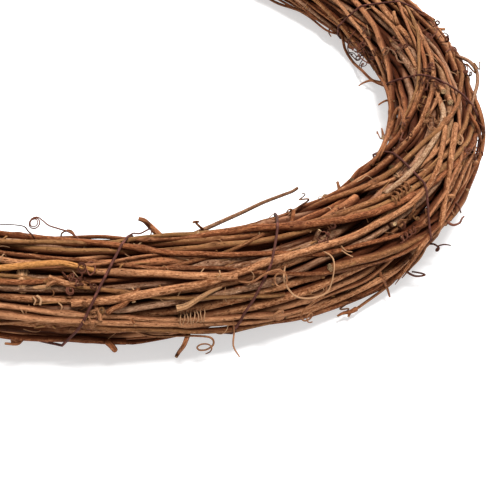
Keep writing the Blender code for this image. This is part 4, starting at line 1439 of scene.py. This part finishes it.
def tendril_lines(rng, count):
    """All tendrils, by the name of their skin."""
    lines = {"dark": [], "tan": [], "fibre": []}
    for skin, path, thick, thin, curl in PLACED_TENDRILS:
        points = seen_path(path)
        if curl:
            size, turns, hand = curl
            to_camera = np.array(camera_axes()[0]) - points[-1]
            points = curl_on(points, size / 1000, turns, hand, 0.0004, unit(to_camera))
        lines[skin].append(tapered(points, thick, thin, rng.uniform(0, 1)))
    for skin, first, last, size, turns, thick in PLACED_COILS:
        spring = corkscrew(seen_path((first, last)), size / 1000, turns)
        lines[skin].append(tapered(spring, thick, 0.85 * thick, rng.uniform(0, 1)))
    for skin, middle, spread, curls in PLACED_TANGLES:
        for _ in range(curls):
            thick = rng.uniform(0.22, 0.32)
            curl = tangled_curl(rng, middle, spread)
            lines[skin].append(tapered(curl, thick, 0.8 * thick, rng.uniform(0, 1)))
    for number in range(2 * count):
        thick, skin = rng.uniform(0.22, 0.34), "dark" if number % 3 else "tan"
        lines[skin].append(tapered(hidden_curl(rng), thick, 0.8 * thick, rng.uniform(0, 1)))
    for _ in range(count):
        points, thick = random_tendril(rng)
        skin = "tan" if rng.random() < 0.35 else "dark"
        lines[skin].append(tapered(points, thick, 0.75 * thick, rng.uniform(0, 1)))
    return lines


def reach_by_direction(places, radii, directions):
    """How far circles reach from the bundle's middle: rows for sections, columns for directions."""
    turn = np.arange(directions) * 2 * math.pi / directions
    ahead = places @ np.stack([np.cos(turn), np.sin(turn)])
    beside = places @ np.stack([-np.sin(turn), np.cos(turn)])
    room = np.maximum(0, radii[:, :, None] ** 2 - beside**2)
    return np.where(room > 0, ahead + np.sqrt(room), 0).max(axis=1)


def taut_wire():
    """The binding wire's line, drawn tight over the canes and shoots: it bends only where it meets one."""
    layers = [circles_by_section(wreath().canes), circles_of_shoots()]
    places = np.concatenate([where for where, _ in layers], axis=1)
    radii = np.concatenate([np.where(thick > 0, thick + WIRE_RADIUS, 0) for _, thick in layers], axis=1)
    table = reach_by_direction(places, radii, WIRE_PIECES)
    turns = len(WIRE_STEPS_DEG)
    marks = np.radians(WIRE_START_DEG + np.cumsum((0,) + WIRE_STEPS_DEG))
    piece = np.arange(turns * WIRE_PIECES)
    along = np.interp(piece / WIRE_PIECES, np.arange(turns + 1), marks)
    section = np.round(along / (2 * math.pi) * SHOOT_SECTIONS).astype(int) % SHOOT_SECTIONS
    reach = table[section, piece % WIRE_PIECES]
    bend = 2 * math.pi / WIRE_PIECES
    tight = reach
    for _ in range(400):
        before, after = np.roll(tight, 1), np.roll(tight, -1)
        chord = 2 * math.cos(bend) * before * after / (before + after)
        tight = np.maximum(reach, chord)
    turned = piece * bend
    return ring_points(along, np.stack([tight * np.cos(turned), tight * np.sin(turned)], axis=1))


def circles_of_shoots():
    """As circles_by_section, for the shoots."""
    rows = [[] for _ in range(SHOOT_SECTIONS)]
    for angles, places, radii in wreath().shoots:
        for angle, place, radius in zip(angles, places, radii):
            rows[round(angle / (2 * math.pi) * SHOOT_SECTIONS) % SHOOT_SECTIONS].append((*place, radius))
    most = max(len(row) for row in rows)
    table = np.array([row + [(0.0, 0.0, 0.0)] * (most - len(row)) for row in rows])
    return table[:, :, :2], table[:, :, 2]


def ride_ring(piece):
    """The whole wreath is one body: the piece is attached to it."""
    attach(piece, "root")


def solid_shape(name, rings, collection):
    """A small closed shape from rings of corners, for the scatter tree."""
    bm = bmesh.new()
    loops = [[bm.verts.new(corner) for corner in ring] for ring in rings]
    for low, high in zip(loops[:-1], loops[1:]):
        for k in range(len(low)):
            following_corner = (k + 1) % len(low)
            bm.faces.new((low[k], low[following_corner], high[following_corner], high[k]))
    bm.faces.new(loops[0][::-1])
    bm.faces.new(loops[-1])
    bmesh.ops.recalc_face_normals(bm, faces=bm.faces)
    mesh = bpy.data.meshes.new(name)
    bm.to_mesh(mesh)
    bm.free()
    mesh.shade_smooth()
    shape = bpy.data.objects.new(name, mesh)
    collection.objects.link(shape)
    return shape


def round_ring(radius, height, lean=0.0, sides=6):
    """A ring of corners, leaning along X."""
    turns = [2 * math.pi * k / sides for k in range(sides)]
    return [(lean + radius * math.cos(turn), radius * math.sin(turn), height) for turn in turns]


def bud_shapes(collection):
    """Dry buds, bud scars and short stubs, one millimetre or two tall, standing on +Z."""
    mm = 0.001
    shapes = {
        "bud_1": ((0.95, -0.6, 0.0), (0.9, 0.2, 0.1), (0.7, 0.8, 0.5), (0.25, 1.4, 1.0)),
        "bud_2": ((1.1, -0.6, 0.0), (1.0, 0.1, 0.0), (0.85, 0.4, 0.2), (0.5, 0.5, 0.3)),
        "bud_3": ((0.8, -0.6, 0.0), (0.75, 0.5, 0.3), (0.7, 1.6, 0.9), (0.72, 2.6, 1.5)),
        "bud_4": ((1.2, -0.6, 0.0), (1.15, 0.2, -0.2), (0.6, 0.9, 0.3), (0.3, 1.1, 0.9)),
    }
    for name, rings in shapes.items():
        solid_shape(name, [round_ring(r * mm, h * mm, lean * mm) for r, h, lean in rings], collection)


def shred_shapes(collection):
    """Thin curling strips of bark, lying along +X and lifting off at their far end."""
    mm = 0.001
    strips = ((5, 0.7, 0.8), (9, 0.6, 1.6), (12, 0.45, 0.7), (4, 1.1, 1.0))
    for number, (length, width, lift) in enumerate(strips):
        rings = []
        for k in range(6):
            t = k / 5
            x, y = length * t, 0.25 * math.sin(3 * t)
            z, half = lift * t * t - 0.15 * (1 - t), width / 2 * (1 - 0.75 * t * t)
            rises = ((-half, 0.0), (half, 0.1), (half, 0.22), (-half, 0.14))
            rings.append([(mm * x, mm * (y + side), mm * (z + rise)) for side, rise in rises])
        solid_shape(f"shred_{number + 1}", rings, collection)


def scattered_piece(name, buds, kinds, sizes, make_shapes, skin):
    """Small shapes set on canes at the places of buds, as one piece."""
    shapes = bpy.data.collections.new(name + "_shapes")
    make_shapes(shapes)
    mesh = bpy.data.meshes.new(name)
    surface = [np.array(bud.place) + np.array(bud.facing) * bud.radius for bud in buds]
    mesh.from_pydata((np.array(surface) + (0.0, 0.0, wreath().height)).tolist(), [], [])
    fill_attribute(mesh, "facing", "FLOAT_VECTOR", [bud.facing for bud in buds])
    fill_attribute(mesh, "heading", "FLOAT_VECTOR", [bud.heading for bud in buds])
    fill_attribute(mesh, "kind", "INT", kinds)
    fill_attribute(mesh, "size", "FLOAT", sizes)
    piece = grown(name, mesh, scatter_tree(), Shapes=shapes, Skin=materials()[skin])
    for shape in list(shapes.objects):
        bpy.data.objects.remove(shape)
    bpy.data.collections.remove(shapes)
    return piece


def finish_colour(name, description, default):
    """A colour that a user can change."""
    return FloatVectorProperty(
        name=name, description=description, default=default, subtype="COLOR", size=3, min=0, max=1
    )


def share_of_radius(name, description, default):
    """A share of a cane's radius that a user can change."""
    return FloatProperty(
        name=name, description=description, default=default, subtype="FACTOR", min=0, max=0.5
    )


def number_of(name, description, default, most):
    """A number of small pieces that a user can change."""
    return IntProperty(name=name, description=description, default=default, min=0, max=most)


class WreathLooks(bpy.types.PropertyGroup):
    """Colours of the bark, the wood, the tendrils and the wire."""

    tan: finish_colour("Tan Bark", "Lightest fibres of the tan canes", (0.50, 0.232, 0.108))
    brown: finish_colour("Brown Bark", "Lightest fibres of the brown canes", (0.39, 0.158, 0.068))
    red: finish_colour("Red Bark", "Lightest fibres of the reddish canes", (0.36, 0.132, 0.052))
    grey: finish_colour("Grey Bark", "Lightest fibres of the weathered canes", (0.41, 0.228, 0.135))
    cut: finish_colour("Cut Wood", "Pale wood at cut ends", (0.56, 0.36, 0.19))
    ochre: finish_colour("Ochre Bark", "Lightest fibres of the young ochre canes", (0.60, 0.265, 0.083))
    pale: finish_colour("Pale Bark", "Lightest fibres of the bleached canes", (0.50, 0.33, 0.205))
    straw: finish_colour("Straw Bark", "Short lengths of cane without their bark", (0.46, 0.245, 0.118))
    fibre: finish_colour("Fibre", "Pale loose fibres", (0.37, 0.205, 0.108))
    tendril: finish_colour("Tendril", "Lighter parts of the tendrils", (0.13, 0.046, 0.028))
    wire: finish_colour("Wire", "Lacquer of the binding wire", (0.058, 0.0195, 0.0140))


class WreathSizes(bpy.types.PropertyGroup):
    """How rough the canes are and how much grows on them."""

    ridge_depth: share_of_radius("Ridge Depth", "Depth of the bark's ridges, as a share of the radius", 0.10)
    lump_depth: share_of_radius("Lump Depth", "Unevenness of the canes, as a share of their radius", 0.12)
    tendrils: number_of("Tendrils", "Tendrils round the whole ring", 60, 200)
    fibres: number_of("Fibres", "Short pale fibres between canes", 300, 900)
    loose_canes: number_of("Loose Canes", "Canes that have come loose, with two stubs for each", 18, 60)
    shreds: number_of("Shreds", "Strips of peeling bark", 520, 2000)


class WREATH_OT_canes(bpy.types.Operator):
    """Wind the vine canes, each with its spurs and tendrils"""

    bl_idname = "wreath.canes"
    bl_label = "Wind Canes"

    def execute(self, context):
        sizes = context.scene.wreath_sizes
        slots = {part["node"]: part["material_slot"] for part in frame["record"]["subparts"]}
        for node, lines in wreath().cane_lines.items():
            layer = node.split("_")[0]
            rough = {"ridges": sizes.ridge_depth, "lumps": sizes.lump_depth}
            piece = vine_piece(node + "_vine", lines, slots[node], SIDES[layer], **rough)
            ride_ring(piece)
            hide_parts(node)
        return {"FINISHED"}


class WREATH_OT_shoots(bpy.types.Operator):
    """Tuck thin shoots in over the canes"""

    bl_idname = "wreath.shoots"
    bl_label = "Tuck In Shoots"

    def execute(self, context):
        skins = ("red_bark", "tan_bark", "brown_bark")
        for number, skin in enumerate(skins):
            lines = wreath().shoot_lines[number :: len(skins)]
            ride_ring(vine_piece(f"shoots_{skin}", lines, skin, 8))
        return {"FINISHED"}


class WREATH_OT_wire(bpy.types.Operator):
    """Draw the binding wire tight round the bundle and twist its ends together"""

    bl_idname = "wreath.wire"
    bl_label = "Bind With Wire"

    def execute(self, context):
        points = taut_wire()
        loop = Line(points, np.full(len(points), 0.9 * WIRE_RADIUS), 0.5)
        root, tip = pigtail_line(wire_points(wreath().canes))
        axis = smooth_rows(np.array([root, (root + tip) / 2 + 0.0004, tip]), 6)
        turned, middle = corkscrew(axis, 0.0005, 3.5), corkscrew(axis, 1e-9, 3.5)
        thick = np.full(len(turned), WIRE_RADIUS * 0.95)
        strands = [Line(turned, thick, 0.5), Line(2 * middle - turned, thick, 0.5)]
        ring = vine_piece("binding_wire_turns", [loop], "wire_coat", 8, closed=True, ridges=0.0, lumps=0.03)
        ride_ring(ring)
        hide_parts("binding_wire")
        ends = vine_piece("binding_wire_ends", strands, "wire_coat", 8, ridges=0.0, lumps=0.0)
        ride_ring(ends)
        return {"FINISHED"}


class WREATH_OT_tendrils(bpy.types.Operator):
    """Curl dry tendrils over and out of the bundle"""

    bl_idname = "wreath.tendrils"
    bl_label = "Curl Tendrils"

    def execute(self, context):
        rng = np.random.default_rng(TENDRIL_SEED)
        lines = tendril_lines(rng, context.scene.wreath_sizes.tendrils)
        dark = vine_piece("tendrils_dark", lines["dark"], "tendril_skin", 6, ridges=0.0, lumps=0.2)
        ride_ring(dark)
        light = vine_piece("tendrils_tan", lines["tan"], "tan_bark", 6, ridges=0.0, lumps=0.2)
        ride_ring(light)
        fibres = lines["fibre"]
        for _ in range(context.scene.wreath_sizes.fibres):
            thick = rng.uniform(0.16, 0.28)
            fibres.append(tapered(loose_fibre(rng), thick, 0.6 * thick, rng.uniform(0, 1)))
        ride_ring(vine_piece("loose_fibres", fibres, "fibre_skin", 5, ridges=0.0, lumps=0.2))
        return {"FINISHED"}


class WREATH_OT_twigs(bpy.types.Operator):
    """Set the spurs, forks, splinters and loose canes that stand out of the bundle"""

    bl_idname = "wreath.twigs"
    bl_label = "Set Twigs"

    def execute(self, context):
        rng = np.random.default_rng(TWIG_SEED)
        by_skin = {}
        for skin, path, thick, thin in PLACED_TWIGS:
            twig = tapered(seen_path(path), thick, thin, rng.uniform(0.3, 0.7))
            by_skin.setdefault(skin, []).append(twig)
        skins = ("brown_bark", "tan_bark", "red_bark", "tan_bark", "grey_bark")
        for number in range(context.scene.wreath_sizes.loose_canes):
            thick, skin = rng.uniform(0.65, 1.15), skins[number % len(skins)]
            by_skin[skin].append(tapered(loose_cane(rng), thick, 0.8 * thick, rng.uniform(0, 1)))
            for _ in range(2):
                thick = rng.uniform(0.7, 1.4)
                by_skin[skin].append(tapered(cut_stub(rng), thick, 0.85 * thick, rng.uniform(0, 1)))
        for skin, lines in by_skin.items():
            slot = "tan_bark" if skin in ("straw_bark", "ochre_bark", "pale_bark") else skin
            ride_ring(vine_piece(f"twigs_{skin}", lines, skin, 10))
        return {"FINISHED"}


class WREATH_OT_buds(bpy.types.Operator):
    """Set dry buds and stubs on the knuckles, and shreds of peeling bark between them"""

    bl_idname = "wreath.buds"
    bl_label = "Set Buds and Shreds"

    def execute(self, context):
        rng = np.random.default_rng(BUD_SEED)
        shown = [node for node in wreath().cane_lines if node.startswith(("outer", "over"))]
        buds = [bud for node in shown for bud in wreath().cane_buds[node]]
        sizes = [rng.uniform(0.7, 1.1) * bud.radius / 0.0019 for bud in buds]
        kinds = rng.integers(0, 4, len(buds))
        piece = scattered_piece("knuckle_buds", buds, kinds, sizes, bud_shapes, "brown_bark")
        ride_ring(piece)
        shreds = []
        lines = [wreath().cane_lines[node][0] for node in shown]
        for _ in range(context.scene.wreath_sizes.shreds):
            line = lines[int(rng.integers(len(lines)))]
            index = int(rng.integers(1, len(line.points) - 1))
            heading = unit(line.points[index + 1] - line.points[index - 1]) * rng.choice((-1, 1))
            facing = unit(outward(line.points[index]) + rng.normal(0, 0.5, 3))
            facing = unit(facing - heading * (facing @ heading))
            shreds.append(Bud(line.points[index], facing, heading, line.radii[index] * 0.93))
        kinds, sizes = rng.integers(0, 4, len(shreds)), rng.uniform(0.6, 1.15, len(shreds))
        piece = scattered_piece("bark_shreds", shreds, kinds, sizes, shred_shapes, "tan_bark")
        ride_ring(piece)
        return {"FINISHED"}


def studio_material(name, colour, roughness, glow):
    material, nodes = new_material(name)
    inputs = {"Base Color": opaque(colour), "Roughness": roughness}
    inputs |= {"Emission Color": opaque((1.0, 1.0, 1.0)), "Emission Strength": glow}
    shader = nodes.add("ShaderNodeBsdfPrincipled", {}, inputs)
    nodes.add("ShaderNodeOutputMaterial", {}, {"Surface": shader})
    return material


def soft_light(name, place, target, size, watts):
    """A square soft light that shines at a point."""
    lamp = bpy.data.lights.new(name, "AREA")
    lamp.shape = "SQUARE"
    lamp.size = size
    lamp.energy = watts
    light = bpy.data.objects.new(name, lamp)
    light.location = place
    light.rotation_euler = (Vector(target) - Vector(place)).to_track_quat("-Z", "Y").to_euler()
    bpy.context.scene.collection.objects.link(light)


class WREATH_OT_stage(bpy.types.Operator):
    """Lay a pale floor, light it softly and put the camera where the photograph was taken"""

    bl_idname = "wreath.stage"
    bl_label = "Set Stage"

    def execute(self, context):
        mesh = bpy.data.meshes.new("floor")
        corners = [(x * FLOOR_HALF, y * FLOOR_HALF, 0) for x, y in ((-1, -1), (1, -1), (1, 1), (-1, 1))]
        mesh.from_pydata(corners, [], [(0, 1, 2, 3)])
        mesh.materials.append(studio_material("pale_floor", (FLOOR_GREY,) * 3, 0.9, FLOOR_GLOW))
        floor = bpy.data.objects.new("floor", mesh)
        context.scene.collection.objects.link(floor)

        soft_light("key_light", (0.10, -0.24, 1.3), (0.05, -0.06, 0), 0.45, 28)
        soft_light("back_light", (0.6, 0.9, 0.9), (0.05, -0.05, 0), 0.6, 11)
        world = bpy.data.worlds.new("studio")
        world.use_nodes = True
        background = world.node_tree.nodes["Background"]
        background.inputs["Color"].default_value = (1.0, 1.0, 1.0, 1.0)
        background.inputs["Strength"].default_value = WORLD_STRENGTH
        context.scene.world = world
        context.scene.view_settings.view_transform = "Standard"

        place, right, up, forward = camera_axes()
        lens = bpy.data.cameras.new("photo_camera")
        lens.sensor_width = 36.0
        lens.lens = 36.0 * FOCAL_PIXELS / FRAME_PIXELS
        lens.clip_start = 0.01
        camera = bpy.data.objects.new("photo_camera", lens)
        turn = Matrix((right, up, -forward)).transposed()
        camera.location = place + Vector((0.0, 0.0, wreath().height))
        camera.rotation_euler = turn.to_euler()
        context.scene.collection.objects.link(camera)
        context.scene.camera = camera
        return {"FINISHED"}


class WREATH_PT_panel(bpy.types.Panel):
    """Lists the steps that make the wreath"""

    bl_label = "Grapevine Wreath"
    bl_idname = "WREATH_PT_panel"
    bl_space_type = "VIEW_3D"
    bl_region_type = "UI"
    bl_category = "Wreath"

    def draw(self, context):
        for operator in OPERATORS:
            self.layout.operator(operator.bl_idname)
        for group in (context.scene.wreath_sizes, context.scene.wreath_looks):
            for name in group.__annotations__:
                self.layout.prop(group, name)


OPERATORS = (
    WREATH_OT_stage,
    WREATH_OT_canes,
    WREATH_OT_shoots,
    WREATH_OT_wire,
    WREATH_OT_tendrils,
    WREATH_OT_twigs,
    WREATH_OT_buds,
)
CLASSES = (WreathLooks, WreathSizes, *OPERATORS, WREATH_PT_panel)


def register():
    for cls in CLASSES:
        bpy.utils.register_class(cls)
    bpy.types.Scene.wreath_looks = PointerProperty(type=WreathLooks)
    bpy.types.Scene.wreath_sizes = PointerProperty(type=WreathSizes)


def unregister():
    del bpy.types.Scene.wreath_sizes
    del bpy.types.Scene.wreath_looks
    for cls in reversed(CLASSES):
        bpy.utils.unregister_class(cls)


def main():
    register()
    for step in OPERATORS:
        group, name = step.bl_idname.split(".")
        getattr(getattr(bpy.ops, group), name)()


if __name__ == "__main__":
    main()
